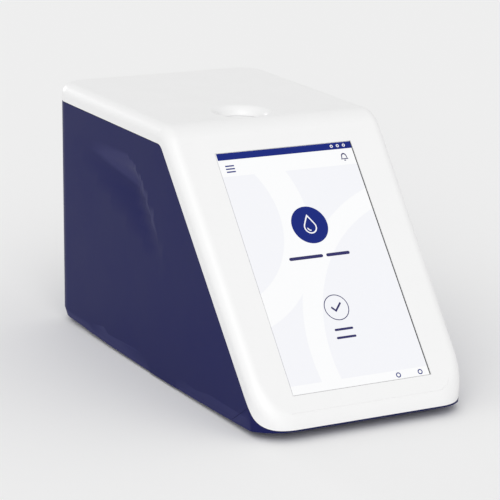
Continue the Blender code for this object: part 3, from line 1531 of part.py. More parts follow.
def cuvette_reader():
    """The code reader on the block's front edge, with its lens towards the cuvette."""
    front = WELL_Y - BLOCK_FRONT + READER_FRONT_GAP
    bottom = BLOCK_TOP + FIT_GAP
    reader = block(
        "cuvette_reader",
        (WELL_X - READER_HALF_WIDTH, front, bottom),
        (WELL_X + READER_HALF_WIDTH, front + READER_DEPTH, bottom + READER_HEIGHT),
        BLACK_PLASTIC,
        bevel=BLOCK_BEVEL,
    )
    lens = rod(
        "reader_lens",
        (WELL_X, front + READER_DEPTH / 2, bottom + READER_HEIGHT / 2),
        (WELL_X, front + READER_DEPTH + READER_LENS_LENGTH, bottom + READER_HEIGHT / 2),
        READER_LENS_RADIUS,
        POST_SIDES,
    )
    return combine(reader, "UNION", lens)


# Lift


def cuvette_carrier():
    """The cup that holds the cuvette, on an arm with the lift's yoke: two bushes and the nut."""
    cup = turned(
        "cuvette_carrier",
        [
            (0, CUP_TOP),
            (CUP_RADIUS, CUP_TOP),
            (CUP_RADIUS, CUP_BOTTOM),
            (0, CUP_BOTTOM),
        ],
        (WELL_X, WELL_Y, 0),
        CUP_STEPS,
        WHITE_PLASTIC,
    )
    reach = ROD_SPACING / 2 + YOKE_REACH
    yoke_front = LIFT_Y - YOKE_DEPTH / 2
    arm = block(
        "carrier_arm",
        (WELL_X - ARM_HALF_WIDTH, WELL_Y + CUP_RADIUS / 3, ARM_BOTTOM),
        (WELL_X + ARM_HALF_WIDTH, yoke_front + WALL, ARM_TOP),
    )
    middle = (WELL_X, LIFT_Y)
    holes = [circle(ROD_RADIUS + BUSH_CLEARANCE, ROD_STEPS, place_of_rod) for place_of_rod in rod_places()]
    holes.append(circle(SCREW_RADIUS + BUSH_CLEARANCE, ROD_STEPS, middle))
    shape = rectangle(reach, YOKE_DEPTH / 2, YOKE_REACH, centre=middle)
    yoke = outline("carrier_yoke", [shape] + holes, YOKE_HEIGHT, level=CUP_TOP - YOKE_HEIGHT / 2)
    bore = rod(
        "cup_bore",
        (WELL_X, WELL_Y, CUP_BOTTOM + CUP_FLOOR),
        (WELL_X, WELL_Y, CUP_TOP + OVERRUN),
        CUP_BORE_RADIUS,
        CUP_STEPS,
    )
    window = block(
        "cup_windows",
        (WELL_X - CUP_RADIUS - OVERRUN, WELL_Y - CUP_WINDOW_HALF, LIGHT_Z - CUP_WINDOW_HALF),
        (WELL_X + CUP_RADIUS + OVERRUN, WELL_Y + CUP_WINDOW_HALF, LIGHT_Z + CUP_WINDOW_HALF),
    )
    combine(cup, "UNION", arm, yoke)
    return combine(cup, "DIFFERENCE", bore, window)


def thread(name, centre, bottom, top):
    """A screw thread's ridge: its section, a face, spun up the core by the lead for each turn."""
    core = SCREW_CORE_RADIUS
    root, crest = SCREW_LEAD * THREAD_ROOT_SHARE / 2, SCREW_LEAD * THREAD_CREST_SHARE / 2
    section = [(core * THREAD_SINK_SHARE, -root), (SCREW_RADIUS, -crest), (SCREW_RADIUS, crest)]
    section.append((core * THREAD_SINK_SHARE, root))
    form = bmesh.new()
    corners = [form.verts.new((radius, 0, bottom + root + rise)) for radius, rise in section]
    face = form.faces.new(corners)
    turns = (top - bottom - 2 * root) / SCREW_LEAD
    steps = round(turns * THREAD_STEPS)
    bmesh.ops.spin(
        form,
        geom=[face] + face.edges[:] + face.verts[:],
        axis=(0, 0, 1),
        cent=(0, 0, 0),
        dvec=(0, 0, SCREW_LEAD / THREAD_STEPS),
        angle=math.tau * steps / THREAD_STEPS,
        steps=steps,
    )
    return place(name, mesh_from(name, form), Matrix.Translation(centre), None)


def lift_screw():
    """The lead screw: a coupler on the motor's shaft, the core with its thread, and the top journal."""
    bottom = CHASSIS_DECK_TOP + FIT_GAP
    journal = SHELF_BOTTOM - FIT_GAP
    profile = [
        (0, journal + SCREW_JOURNAL_LENGTH),
        (SCREW_JOURNAL_RADIUS, journal + SCREW_JOURNAL_LENGTH),
        (SCREW_JOURNAL_RADIUS, journal),
        (SCREW_CORE_RADIUS, journal),
        (SCREW_CORE_RADIUS, bottom + SCREW_COUPLER_LENGTH),
        (SCREW_COUPLER_RADIUS, bottom + SCREW_COUPLER_LENGTH),
        (SCREW_COUPLER_RADIUS, bottom),
        (0, bottom),
    ]
    centre = (WELL_X, LIFT_Y, 0)
    screw = turned("lift_screw", profile, centre, ROD_STEPS, STEEL)
    start = bottom + SCREW_COUPLER_LENGTH + SCREW_THREAD_INSET
    return combine(screw, "UNION", thread("screw_thread", centre, start, journal - SCREW_THREAD_INSET))


def guide_rods():
    """Two ground rods between deck and shelf."""
    bottom = CHASSIS_DECK_TOP - ROD_SEAT_DEPTH + FIT_GAP
    top = SHELF_BOTTOM + ROD_SEAT_DEPTH - FIT_GAP
    for name, (across, along) in zip(("guide_rod_left", "guide_rod_right"), rod_places()):
        rod(name, (across, along, bottom), (across, along, top), ROD_RADIUS, ROD_STEPS, STEEL)


def lift_motor():
    """The stepper motor under the deck, with its boss in the deck's hole."""
    top = DECK_BOTTOM - FIT_GAP
    motor = block(
        "lift_motor",
        (WELL_X - LIFT_MOTOR_HALF, LIFT_Y - LIFT_MOTOR_HALF, top - LIFT_MOTOR_HEIGHT),
        (WELL_X + LIFT_MOTOR_HALF, LIFT_Y + LIFT_MOTOR_HALF, top),
        GREY_PLASTIC,
        bevel=LIFT_MOTOR_BEVEL,
    )
    boss = rod(
        "lift_motor_boss",
        (WELL_X, LIFT_Y, top - LIFT_MOTOR_BOSS_HEIGHT),
        (WELL_X, LIFT_Y, CHASSIS_DECK_TOP),
        LIFT_MOTOR_BOSS_RADIUS,
        ROD_STEPS,
    )
    return combine(motor, "UNION", boss)


# Main board and sockets


def board_pillars():
    """Where the base's pillars carry the main board."""
    across = BOARD_HALF_WIDTH - BOARD_PILLAR_INSET
    rows = (BOARD_FRONT_Y + BOARD_PILLAR_INSET, BOARD_REAR_Y - BOARD_PILLAR_INSET - SOCKET_LENGTH)
    return [(side * across, along) for side in (-1, 1) for along in rows]


def main_board():
    """The circuit board on its pillars, with a chip and a finned heat sink."""
    board = block(
        "main_board",
        (-BOARD_HALF_WIDTH, BOARD_FRONT_Y, BOARD_HEIGHT),
        (BOARD_HALF_WIDTH, BOARD_REAR_Y, BOARD_TOP),
        BOARD_GREEN,
    )
    chip_x, chip_y, chip_z = BOARD_CHIP
    chip_edge = -BOARD_CHIP_OFFSET
    middle_y = BOARD_FRONT_Y + chip_y
    chip = block(
        "board_chip",
        (chip_edge - chip_x, middle_y - chip_y / 2, BOARD_TOP - BOARD_THICKNESS / 2),
        (chip_edge, middle_y + chip_y / 2, BOARD_TOP + chip_z),
    )
    sink_x, sink_y, sink_z = BOARD_HEATSINK
    sink = block(
        "board_heatsink",
        (0, middle_y - sink_y / 2, BOARD_TOP - BOARD_THICKNESS / 2),
        (sink_x, middle_y + sink_y / 2, BOARD_TOP + sink_z),
    )
    combine(board, "UNION", chip, sink)
    pitch = sink_x / (HEATSINK_FINS * 2 - 1)
    for number in range(HEATSINK_FINS - 1):
        start = pitch * (2 * number + 1)
        groove = block(
            "sink_groove",
            (start, middle_y - sink_y, BOARD_TOP + sink_z / 4),
            (start + pitch, middle_y + sink_y, BOARD_TOP + sink_z + OVERRUN),
        )
        combine(board, "DIFFERENCE", groove)
    return board


def rear_sockets():
    """The sockets on the board's rear edge, flush with the housing's rear."""
    rear = HALF_DEPTH
    for name, across, (width, height) in socket_places():
        middle = SOCKET_BOTTOM + height / 2
        finish = BLACK_PLASTIC if name == "power_inlet" else STEEL
        socket = block(
            name,
            (across - width / 2, rear - SOCKET_LENGTH, SOCKET_BOTTOM),
            (across + width / 2, rear, SOCKET_BOTTOM + height),
            finish,
        )
        if name == "power_inlet":
            hole = rod(
                "power_hole",
                (across, rear - POWER_HOLE_DEPTH, middle),
                (across, rear + OVERRUN, middle),
                POWER_HOLE_RADIUS,
                BUTTON_STEPS,
            )
            pin = rod(
                "power_pin",
                (across, rear - POWER_HOLE_DEPTH - WALL, middle),
                (across, rear - WALL, middle),
                POWER_PIN_RADIUS,
                POST_SIDES,
            )
            combine(socket, "DIFFERENCE", hole)
            combine(socket, "UNION", pin)
            continue
        hole_width, hole_height = NETWORK_HOLE if name == "network_socket" else USB_HOLE
        depth = NETWORK_HOLE_DEPTH if name == "network_socket" else USB_HOLE_DEPTH
        hole = block(
            name + "_hole",
            (across - hole_width / 2, rear - depth, middle - hole_height / 2),
            (across + hole_width / 2, rear + OVERRUN, middle + hole_height / 2),
        )
        combine(socket, "DIFFERENCE", hole)


def power_button():
    """The round button in the rear wall, with the flange that keeps it in."""
    back = -BUTTON_LENGTH
    profile = [
        (0, -BUTTON_DISH_DEPTH),
        (BUTTON_RADIUS * 3 / 4, -BUTTON_DISH_DEPTH / 2),
        (BUTTON_RADIUS - BUTTON_DISH_DEPTH, 0),
        (BUTTON_RADIUS, -BUTTON_DISH_DEPTH),
        (BUTTON_RADIUS, -WALL - BUTTON_CLEARANCE),
        (BUTTON_FLANGE_RADIUS, -WALL - BUTTON_CLEARANCE),
        (BUTTON_FLANGE_RADIUS, -WALL - BUTTON_CLEARANCE - BUTTON_FLANGE_LENGTH),
        (BUTTON_RADIUS - BUTTON_DISH_DEPTH, back),
        (0, back),
    ]
    return turned(
        "power_button",
        profile,
        (rear_row()["power_button"], HALF_DEPTH, BUTTON_HEIGHT),
        BUTTON_STEPS,
        WHITE_PLASTIC,
        (0, 1, 0),
    )


def power_switch():
    """The push switch on its post behind the button, which its stem nearly touches."""
    width, depth, height = SWITCH_BODY
    across = rear_row()["power_button"]
    stem_tip = HALF_DEPTH - BUTTON_LENGTH - BUTTON_TRAVEL - FIT_GAP
    body_rear = stem_tip - SWITCH_STEM_LENGTH
    body_bottom = BOARD_TOP + FIT_GAP
    switch = block(
        "power_switch",
        (across - width / 2, body_rear - depth, body_bottom),
        (across + width / 2, body_rear, BUTTON_HEIGHT + height / 2),
        BLACK_PLASTIC,
    )
    stem = rod(
        "switch_stem",
        (across, body_rear - depth / 2, BUTTON_HEIGHT),
        (across, stem_tip, BUTTON_HEIGHT),
        SWITCH_STEM_RADIUS,
        POST_SIDES,
    )
    return combine(switch, "UNION", stem)


def speaker():
    """The small speaker on the base, over its slots."""
    bottom = INNER_FLOOR + FIT_GAP
    profile = [
        (0, bottom + SPEAKER_HEIGHT + SPEAKER_MAGNET_HEIGHT),
        (SPEAKER_MAGNET_RADIUS, bottom + SPEAKER_HEIGHT + SPEAKER_MAGNET_HEIGHT),
        (SPEAKER_MAGNET_RADIUS, bottom + SPEAKER_HEIGHT),
        (SPEAKER_RADIUS, bottom + SPEAKER_HEIGHT / 3),
        (SPEAKER_RADIUS, bottom),
        (0, bottom),
    ]
    return turned("speaker", profile, (SPEAKER_X, SPEAKER_Y, 0), SPEAKER_STEPS, BLACK_PLASTIC)


for make in (
    top_front_cover,
    touch_glass,
    lcd_module,
    display_bracket,
    main_housing,
    base_plate,
    feet,
    base_screws,
    lid,
    lid_pinion,
    lid_motor,
    lid_tray,
    chassis,
    heater_block,
    light_source,
    condenser_lens,
    detector_board,
    cuvette_reader,
    cuvette_carrier,
    lift_screw,
    guide_rods,
    lift_motor,
    main_board,
    rear_sockets,
    power_button,
    power_switch,
    speaker,
):
    make()
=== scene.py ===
"""CRP analyzer: moulded shells, screen picture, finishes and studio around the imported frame."""

import math

import bmesh
import bpy
from mathutils import Matrix, Vector
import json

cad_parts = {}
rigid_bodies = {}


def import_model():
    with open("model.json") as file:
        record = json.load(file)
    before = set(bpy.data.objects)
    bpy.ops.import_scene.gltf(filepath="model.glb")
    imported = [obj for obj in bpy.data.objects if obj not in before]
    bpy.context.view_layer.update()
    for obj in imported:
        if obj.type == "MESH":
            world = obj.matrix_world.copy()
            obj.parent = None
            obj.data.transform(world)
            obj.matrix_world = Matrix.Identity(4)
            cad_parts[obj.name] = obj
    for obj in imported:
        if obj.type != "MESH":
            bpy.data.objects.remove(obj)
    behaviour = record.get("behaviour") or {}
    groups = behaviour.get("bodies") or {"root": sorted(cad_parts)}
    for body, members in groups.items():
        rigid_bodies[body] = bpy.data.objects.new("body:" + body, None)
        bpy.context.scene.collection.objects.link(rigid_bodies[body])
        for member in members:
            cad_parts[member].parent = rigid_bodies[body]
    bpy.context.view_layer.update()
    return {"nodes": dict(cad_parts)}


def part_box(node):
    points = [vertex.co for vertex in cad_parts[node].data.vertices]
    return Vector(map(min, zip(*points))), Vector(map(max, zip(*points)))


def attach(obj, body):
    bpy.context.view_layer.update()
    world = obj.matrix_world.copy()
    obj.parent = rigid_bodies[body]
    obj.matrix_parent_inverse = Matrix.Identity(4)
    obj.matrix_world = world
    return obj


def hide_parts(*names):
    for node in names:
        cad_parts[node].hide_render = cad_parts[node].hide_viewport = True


for item in list(bpy.data.objects):
    bpy.data.objects.remove(item, do_unlink=True)
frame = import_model()
nodes = frame["nodes"]


# Injection-moulded ABS, white for the cover and blue for the housing and base.
# The moulds were spark-eroded to a fine even grain, and the plastic is through-coloured.
# Handling changes its gloss a little in broad soft patches.


def moulded_grain():
    """The node group of a moulded surface: fine grain as a height, and a broad mottle."""
    group = bpy.data.node_groups.new("moulded_grain", "ShaderNodeTree")
    for way, labels in (("INPUT", ("Grain Scale", "Mottle Scale")), ("OUTPUT", ("Height", "Mottle"))):
        for label in labels:
            group.interface.new_socket(label, in_out=way, socket_type="NodeSocketFloat")
    taken = group.nodes.new("NodeGroupInput")
    given = group.nodes.new("NodeGroupOutput")
    place = shader_node(group, "TexCoord").outputs["Object"]
    grain_scale, mottle_scale = taken.outputs["Grain Scale"], taken.outputs["Mottle Scale"]
    fine = shader_node(group, "TexNoise", Vector=place, Scale=grain_scale, Detail=3.0)
    broad = shader_node(group, "TexNoise", Vector=place, Scale=mottle_scale, Detail=4.0, Roughness=0.6)
    group.links.new(fine.outputs["Fac"], given.inputs["Height"])
    group.links.new(broad.outputs["Fac"], given.inputs["Mottle"])
    return group


def shader_node(tree, kind, **values):
    """Adds a shader node; each value is a number, a colour, a property or a socket to link from."""
    made = tree.nodes.new("ShaderNode" + kind)
    settings = [key for key in values if key.replace("_", " ") not in made.inputs]
    for key in settings:
        setattr(made, key, values[key])
    for key, value in values.items():
        if key in settings:
            continue
        label = key.replace("_", " ")
        socket = next(given for given in made.inputs if given.name == label and given.enabled)
        if isinstance(value, bpy.types.NodeSocket):
            tree.links.new(value, socket)
        else:
            socket.default_value = value
    return made


grain_group = moulded_grain()


def blank_material(name, **values):
    """A new node material and its Principled BSDF."""
    made = bpy.data.materials.new(name)
    made.use_nodes = True
    shader = made.node_tree.nodes["Principled BSDF"]
    for key, value in values.items():
        shader.inputs[key.replace("_", " ")].default_value = value
    return made, made.node_tree, shader


def spread(tree, source, low, high, start=0.3, end=0.7):
    """Maps a mask onto a range of values."""
    mapped = shader_node(
        tree, "MapRange", Value=source, From_Min=start, From_Max=end, To_Min=low, To_Max=high,
    )
    return mapped.outputs["Result"]


def tint(tree, factor, first, second):
    """Mixes two colours by a mask."""
    mixed = tree.nodes.new("ShaderNodeMix")
    mixed.data_type = "RGBA"
    tree.links.new(factor, mixed.inputs["Factor"])
    for index, colour in ((6, first), (7, second)):
        if isinstance(colour, bpy.types.NodeSocket):
            tree.links.new(colour, mixed.inputs[index])
        else:
            mixed.inputs[index].default_value = (*colour, 1)
    return mixed.outputs[2]


def bumped(tree, shader, height, depth):
    """Raises a surface by a height mask."""
    bump = shader_node(tree, "Bump", Height=height, Distance=depth, Strength=0.5)
    tree.links.new(bump.outputs["Normal"], shader.inputs["Normal"])


def moulded(name, pale, deep, gloss, grain_scale=2600.0, grain_depth=0.00001, mottle_scale=45.0,
            level=0.5, painted_bounce=None):
    """Moulded plastic between two close colours; with a bounce colour given, faces turned down are painted
    paler as painted light from the floor.
    """
    made, tree, shader = blank_material(name, Specular_IOR_Level=level)
    grain = shader_node(tree, "Group", node_tree=grain_group)
    grain.inputs["Grain Scale"].default_value = grain_scale
    grain.inputs["Mottle Scale"].default_value = mottle_scale
    mottle = grain.outputs["Mottle"]
    colour = tint(tree, mottle, pale, deep)
    # Painted light: faces turned down get a paler colour, standing in for light bounced up from the floor.
    if painted_bounce:
        facing = shader_node(tree, "SeparateXYZ", Vector=shader_node(tree, "NewGeometry").outputs["Normal"])
        painted_bounce_mask = spread(tree, facing.outputs["Z"], 1.0, 0.0, -0.09, -0.03)
        colour = tint(tree, painted_bounce_mask, colour, painted_bounce)
    tree.links.new(colour, shader.inputs["Base Color"])
    tree.links.new(spread(tree, mottle, *gloss), shader.inputs["Roughness"])
    bumped(tree, shader, grain.outputs["Height"], grain_depth)
    return made


def dress(material, *names):
    """Gives a finish to CAD nodes."""
    for name in names:
        slots = nodes[name].data.materials
        slots.clear()
        slots.append(material)


white_abs = moulded("white_abs", (0.88, 0.88, 0.88), (0.86, 0.86, 0.86), (0.30, 0.38))
# The blue is painted paler on faces turned down, as painted light bounced up from the floor.
blue_abs = moulded("blue_abs", (0.0105, 0.0125, 0.080), (0.0130, 0.0150, 0.090), (0.36, 0.44),
                   mottle_scale=22.0, level=0.07, painted_bounce=(0.024, 0.026, 0.112))


# White cover: top and front in one injection moulding, 2.5 mm thick with a broad rolled rim.
# It snaps over the blue housing along a parting line that follows the side view.
# The front carries the touch screen in a ledged opening, and the top the round recess over the well.

BODY_WIDTH, BODY_DEPTH, BODY_HEIGHT = 0.1450, 0.2700, 0.1550
HALF_WIDTH, HALF_DEPTH = BODY_WIDTH / 2, BODY_DEPTH / 2
TOP_EDGE_Y = HALF_DEPTH - 0.1513
FRONT_EDGE_HEIGHT = 0.0115
SLOPE = math.atan((BODY_HEIGHT - FRONT_EDGE_HEIGHT) / (TOP_EDGE_Y + HALF_DEPTH))
DRAFT = math.tan(math.radians(1.3))
WALL, GAP, OVER = 0.0025, 0.0003, 0.0100
BEND_RADIUS, REAR_RADIUS, FRONT_RADIUS, RIM_RADIUS = 0.0170, 0.0170, 0.0210, 0.0072
UPWARD = math.cos(SLOPE + math.radians(17.5))
COVER_DEPTH, COVER_BEND, LIP_HEIGHT, LIP_CORNER = 0.0111, 0.0060, 0.0066, 0.0175
SCREEN_HALF_WIDTH, SCREEN_START = HALF_WIDTH - 0.0268, 0.0196
SCREEN_END = (BODY_HEIGHT - FRONT_EDGE_HEIGHT) / math.sin(SLOPE) - 0.0154
SCREEN_LEDGE, GLASS_POCKET = 0.0024, 0.0014
WELL = Vector((-0.0080, TOP_EDGE_Y + 0.0243, 0))
RECESS_RADIUS, THROAT_RADIUS, THROAT_DROP, COLLAR_RADIUS = 0.0190, 0.0135, 0.0057, 0.0180


def only(item):
    """Selects one object and makes it active."""
    bpy.ops.object.select_all(action="DESELECT")
    item.select_set(True)
    bpy.context.view_layer.objects.active = item


def settled(name, item=None):
    """Names a new piece and moves its place into its mesh."""
    item = item or bpy.context.active_object
    item.name = item.data.name = name
    only(item)
    bpy.ops.object.transform_apply(location=True, rotation=True, scale=True)
    return item


def cuboid(name, low, high):
    """A cube primitive at its size and place."""
    low, high = Vector(low), Vector(high)
    bpy.ops.mesh.primitive_cube_add(size=1, location=(low + high) / 2, scale=high - low)
    return settled(name)


def pick(item, kind, test):
    """In edit mode, selects only the verts or edges that pass a test."""
    modes = {"verts": "VERT", "edges": "EDGE"}
    bpy.ops.mesh.select_mode(type=modes[kind])
    bpy.ops.mesh.select_all(action="DESELECT")
    form = bmesh.from_edit_mesh(item.data)
    for element in getattr(form, kind):
        if test(element):
            element.select_set(True)
    form.select_flush_mode()
    bmesh.update_edit_mesh(item.data)


def near(value, other, reach=0.00002):
    """Whether two measures are the same."""
    return abs(value - other) < reach


def slope_at(height, depth=0.0):
    """How far to the rear the front slope lies at a height, or a plane at a depth behind it."""
    return TOP_EDGE_Y - (BODY_HEIGHT - height) / math.tan(SLOPE) + depth / math.sin(SLOPE)


def body_blank(name, inset, floor, segments):
    """The whole body as one block: sloped, drafted, and rounded at its bend, corners and rim."""
    top, rear, front = BODY_HEIGHT - inset, HALF_DEPTH - inset, inset - HALF_DEPTH
    item = cuboid(name, (-HALF_WIDTH, front, floor), (HALF_WIDTH, rear, top))
    bpy.ops.object.mode_set(mode="EDIT")
    outward = Vector((0, -math.sin(SLOPE), math.cos(SLOPE)))
    cuts = (
        (Vector((0, TOP_EDGE_Y, BODY_HEIGHT)) - outward * inset, outward),
        (Vector((HALF_WIDTH - inset, 0, BODY_HEIGHT)), Vector((1, 0, -DRAFT))),
        (Vector((inset - HALF_WIDTH, 0, BODY_HEIGHT)), Vector((-1, 0, -DRAFT))),
    )
    for place, normal in cuts:
        bpy.ops.mesh.select_all(action="SELECT")
        bpy.ops.mesh.bisect(plane_co=place, plane_no=normal, use_fill=True, clear_outer=True)
    bend = slope_at(top, inset)
    pick(item, "edges", lambda edge: all(near(v.co.z, top) and near(v.co.y, bend) for v in edge.verts))
    reach = (BEND_RADIUS - inset) * math.tan(SLOPE / 2)
    bpy.ops.mesh.bevel(offset=reach, segments=segments, profile=0.5, affect="EDGES", clamp_overlap=False)
    for end, radius in ((rear, REAR_RADIUS), (front, FRONT_RADIUS)):
        pick(item, "edges", lambda edge: all(near(v.co.y, end) for v in edge.verts)
             and edge.verts[0].co.x * edge.verts[1].co.x > 0)
        bpy.ops.mesh.bevel(
            offset=radius - inset, segments=segments, profile=0.5, affect="EDGES", clamp_overlap=False,
        )
    bpy.ops.mesh.select_all(action="SELECT")
    bpy.ops.mesh.normals_make_consistent(inside=False)
    pick(item, "edges", lambda edge: sum(face.normal.z > UPWARD for face in edge.link_faces) == 1)
    bpy.ops.mesh.bevel(
        offset_type="WIDTH", offset=(RIM_RADIUS - inset) * math.sqrt(2), segments=segments - 2, profile=0.5,
        affect="EDGES", clamp_overlap=False, miter_outer="SHARP",
    )
    bpy.ops.mesh.select_all(action="SELECT")
    bpy.ops.mesh.normals_make_consistent(inside=False)
    bpy.ops.object.mode_set(mode="OBJECT")
    return item


def trace(points):
    """A plane merged to one vertex, which is then extruded from point to point. It ends in edit mode."""
    bpy.ops.mesh.primitive_plane_add(size=GAP, location=points[0])
    item = bpy.context.active_object
    bpy.ops.object.mode_set(mode="EDIT")
    bpy.ops.mesh.select_mode(type="VERT")
    bpy.ops.mesh.select_all(action="SELECT")
    bpy.ops.mesh.merge(type="CENTER")
    for before, after in zip(points, points[1:]):
        step = Vector(after) - Vector(before)
        bpy.ops.mesh.extrude_vertices_move(TRANSFORM_OT_translate={"value": step})
    return item


def traced(name, points, reach, rounds=()):
    """A side view traced point by point, its corners rounded, and extruded across the body."""
    item = trace([(-reach, *point) for point in points])
    bpy.ops.mesh.select_all(action="SELECT")
    bpy.ops.mesh.edge_face_add()
    for corner, radius in rounds:
        here = Vector((0, *corner)) - Vector((0, *points[0]))
        pick(item, "verts", lambda vertex: (vertex.co - here).length < GAP / 10)
        bpy.ops.mesh.bevel(offset=radius, segments=10, profile=0.5, affect="VERTICES", clamp_overlap=False)
    bpy.ops.mesh.select_mode(type="FACE")
    bpy.ops.mesh.select_all(action="SELECT")
    bpy.ops.mesh.extrude_region_move(TRANSFORM_OT_translate={"value": (reach * 2, 0, 0)})
    bpy.ops.mesh.select_all(action="SELECT")
    bpy.ops.mesh.normals_make_consistent(inside=False)
    bpy.ops.object.mode_set(mode="OBJECT")
    return settled(name)


def under_cover(name, gap):
    """The region below and behind the cover's parting line, moved up and forward by a gap."""
    depth, height, lip = COVER_DEPTH - gap, BODY_HEIGHT - COVER_DEPTH + gap, LIP_HEIGHT + gap
    bend, corner = (slope_at(height, depth), height), (slope_at(lip, depth), lip)
    rear, front = HALF_DEPTH + OVER, -HALF_DEPTH - OVER
    points = [(rear, height), bend, corner, (front, lip), (front, -OVER), (rear, -OVER)]
    turned = math.tan(SLOPE / 2)
    rounds = ((bend, (COVER_BEND + gap) * turned), (corner, (LIP_CORNER - gap) * turned))
    return traced(name, points, BODY_WIDTH, rounds)


def carve(item, operation, *tools):
    """Applies an exact Boolean for each tool, then removes the tool."""
    for tool in tools:
        change = item.modifiers.new(tool.name, "BOOLEAN")
        change.operation = operation
        change.object = tool
        change.solver = "EXACT"
        only(item)
        bpy.ops.object.modifier_apply(modifier=change.name)
        bpy.data.objects.remove(tool, do_unlink=True)
    return item


def face_place(across, down):
    """A place on the front slope, so far across and down the slope."""
    along = Vector((0, -math.cos(SLOPE), -math.sin(SLOPE))) * down
    return Vector((across, TOP_EDGE_Y, BODY_HEIGHT)) + along


def on_face(item, down=0.0):
    """Lays a piece that was made flat at the origin on the front slope, so far down it."""
    item.rotation_euler = (SLOPE, 0, 0)
    item.location = face_place(0, down)
    return settled(item.name, item)


def lathed(name, profile, segments=96, place=(0, 0, 0), turn=(0, 0, 0)):
    """A profile of (radius, height) traced in edit mode and spun round its axis."""
    item = trace([(radius, 0, height) for radius, height in profile])
    bpy.ops.mesh.select_all(action="SELECT")
    bpy.ops.mesh.spin(steps=segments, angle=math.tau, center=(0, 0, 0), axis=(0, 0, 1))
    bpy.ops.mesh.select_all(action="SELECT")
    bpy.ops.mesh.remove_doubles(threshold=0.000002)
    bpy.ops.mesh.normals_make_consistent(inside=False)
    bpy.ops.object.mode_set(mode="OBJECT")
    settled(name, item)
    item.location, item.rotation_euler = place, turn
    return settled(name, item)


def piped(name, points, radius):
    """A round line traced through points, given its thickness as a curve and made a mesh."""
    item = trace(points)
    bpy.ops.object.mode_set(mode="OBJECT")
    only(item)
    bpy.ops.object.convert(target="CURVE")
    item = bpy.context.active_object
    item.data.bevel_depth = radius
    item.data.bevel_resolution = 4
    item.data.use_fill_caps = True
    bpy.ops.object.convert(target="MESH")
    return settled(name)


def tidied(item):
    """Merges the doubles of a carved piece and makes one face of what lies in one plane."""
    only(item)
    bpy.ops.object.mode_set(mode="EDIT")
    bpy.ops.mesh.select_all(action="SELECT")
    bpy.ops.mesh.remove_doubles(threshold=0.000005)
    bpy.ops.mesh.dissolve_limited(angle_limit=math.radians(0.15))
    bpy.ops.object.mode_set(mode="OBJECT")
    return item


def softened(item, width=0.00025, segments=2, crease_top=0.0):
    """Breaks a piece's sharp edges and shades it; level creases below a height stay crisp."""
    sharp, faint = math.radians(38), math.radians(1.5)
    only(item)
    broken = item.modifiers.new("broken_edges", "BEVEL")
    broken.width = width
    broken.segments = segments
    broken.limit_method = "ANGLE"
    broken.angle_limit = sharp
    bpy.ops.object.modifier_apply(modifier=broken.name)
    bpy.ops.object.shade_smooth_by_angle(angle=sharp)
    if crease_top:
        bpy.ops.object.mode_set(mode="EDIT")
        pick(item, "edges", lambda edge: len(edge.link_faces) == 2 and edge.calc_face_angle() > faint
             and all(vertex.co.z < crease_top for vertex in edge.verts)
             and abs(edge.verts[0].co.z - edge.verts[1].co.z) < edge.calc_length() / 2)
        bpy.ops.mesh.mark_sharp()
        bpy.ops.object.mode_set(mode="OBJECT")
    return item


def finished(item, material, body, slot, *replaced):
    """Evens a piece's shading, gives it its finish and its body, and hides the CAD nodes that it stands for.
    """
    only(item)
    weigh = item.modifiers.new("weighted_normals", "WEIGHTED_NORMAL")
    weigh.keep_sharp = True
    bpy.ops.object.modifier_apply(modifier=weigh.name)
    item.data.materials.clear()
    item.data.materials.append(material)
    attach(item, body)
    if replaced:
        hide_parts(*replaced)
    return item


FINE, PLAIN = 14, 8
cover = body_blank("cover_shell", 0.0, 0.0, FINE)
cavity = body_blank("cover_cavity", WALL, -OVER, PLAIN)
carve(cover, "DIFFERENCE", under_cover("cover_parting", GAP / 2), cavity)

screen_drop = SCREEN_START - SCREEN_END
opening = cuboid("screen_opening", (-SCREEN_HALF_WIDTH - GAP, screen_drop - GAP, -GLASS_POCKET),
                 (SCREEN_HALF_WIDTH + GAP, GAP, OVER))
window = cuboid("screen_window", (SCREEN_LEDGE - SCREEN_HALF_WIDTH, screen_drop + SCREEN_LEDGE, -OVER),
                (SCREEN_HALF_WIDTH - SCREEN_LEDGE, -SCREEN_LEDGE, OVER))
carve(cover, "DIFFERENCE", on_face(opening, SCREEN_START), on_face(window, SCREEN_START))

throat_bottom = BODY_HEIGHT - THROAT_DROP
collar_top = BODY_HEIGHT - WALL / 2
collar_side = [(COLLAR_RADIUS, throat_bottom), (COLLAR_RADIUS, collar_top)]
collar = lathed("recess_collar", [(0, throat_bottom), *collar_side, (0, collar_top)], place=WELL)
carve(cover, "UNION", collar)
rolled = []
run = RECESS_RADIUS - THROAT_RADIUS
for step in range(9):
    angle = math.radians(90) * step / 8
    height = throat_bottom + THROAT_DROP * math.cos(angle) ** 1.4
    rolled.append((RECESS_RADIUS - run * math.sin(angle), height))
funnel = lathed("recess_funnel", [(0, BODY_HEIGHT + OVER), (RECESS_RADIUS, BODY_HEIGHT + OVER)] + rolled
                + [(THROAT_RADIUS, throat_bottom - OVER), (0, throat_bottom - OVER)], place=WELL)
carve(cover, "DIFFERENCE", funnel)

CREASE_DOWN, CREASE_LEFT, CREASE_RIGHT, CREASE_TURN, CREASE_RADIUS = 0.1813, -0.0500, 0.0470, 0.0100, 0.00028
crease_line = [face_place(CREASE_LEFT, CREASE_DOWN), face_place(CREASE_RIGHT, CREASE_DOWN)]
for step in range(1, 9):
    angle = math.radians(70) * step / 8
    crease_line.append(face_place(CREASE_RIGHT + CREASE_TURN * math.sin(angle),
                                  CREASE_DOWN - CREASE_TURN * (1 - math.cos(angle))))
carve(cover, "DIFFERENCE", piped("lip_crease", crease_line, CREASE_RADIUS))
finished(softened(tidied(cover)), white_abs, "body", "white_plastic", "top_front_cover")


# Blue housing: both sides and the rear in one moulding, hollowed at each side for the hands.
# Shallow facets run along the foot of the sides, on either side of a plain land.
# The rear wall is cut for the sockets and the button of the main board behind it.

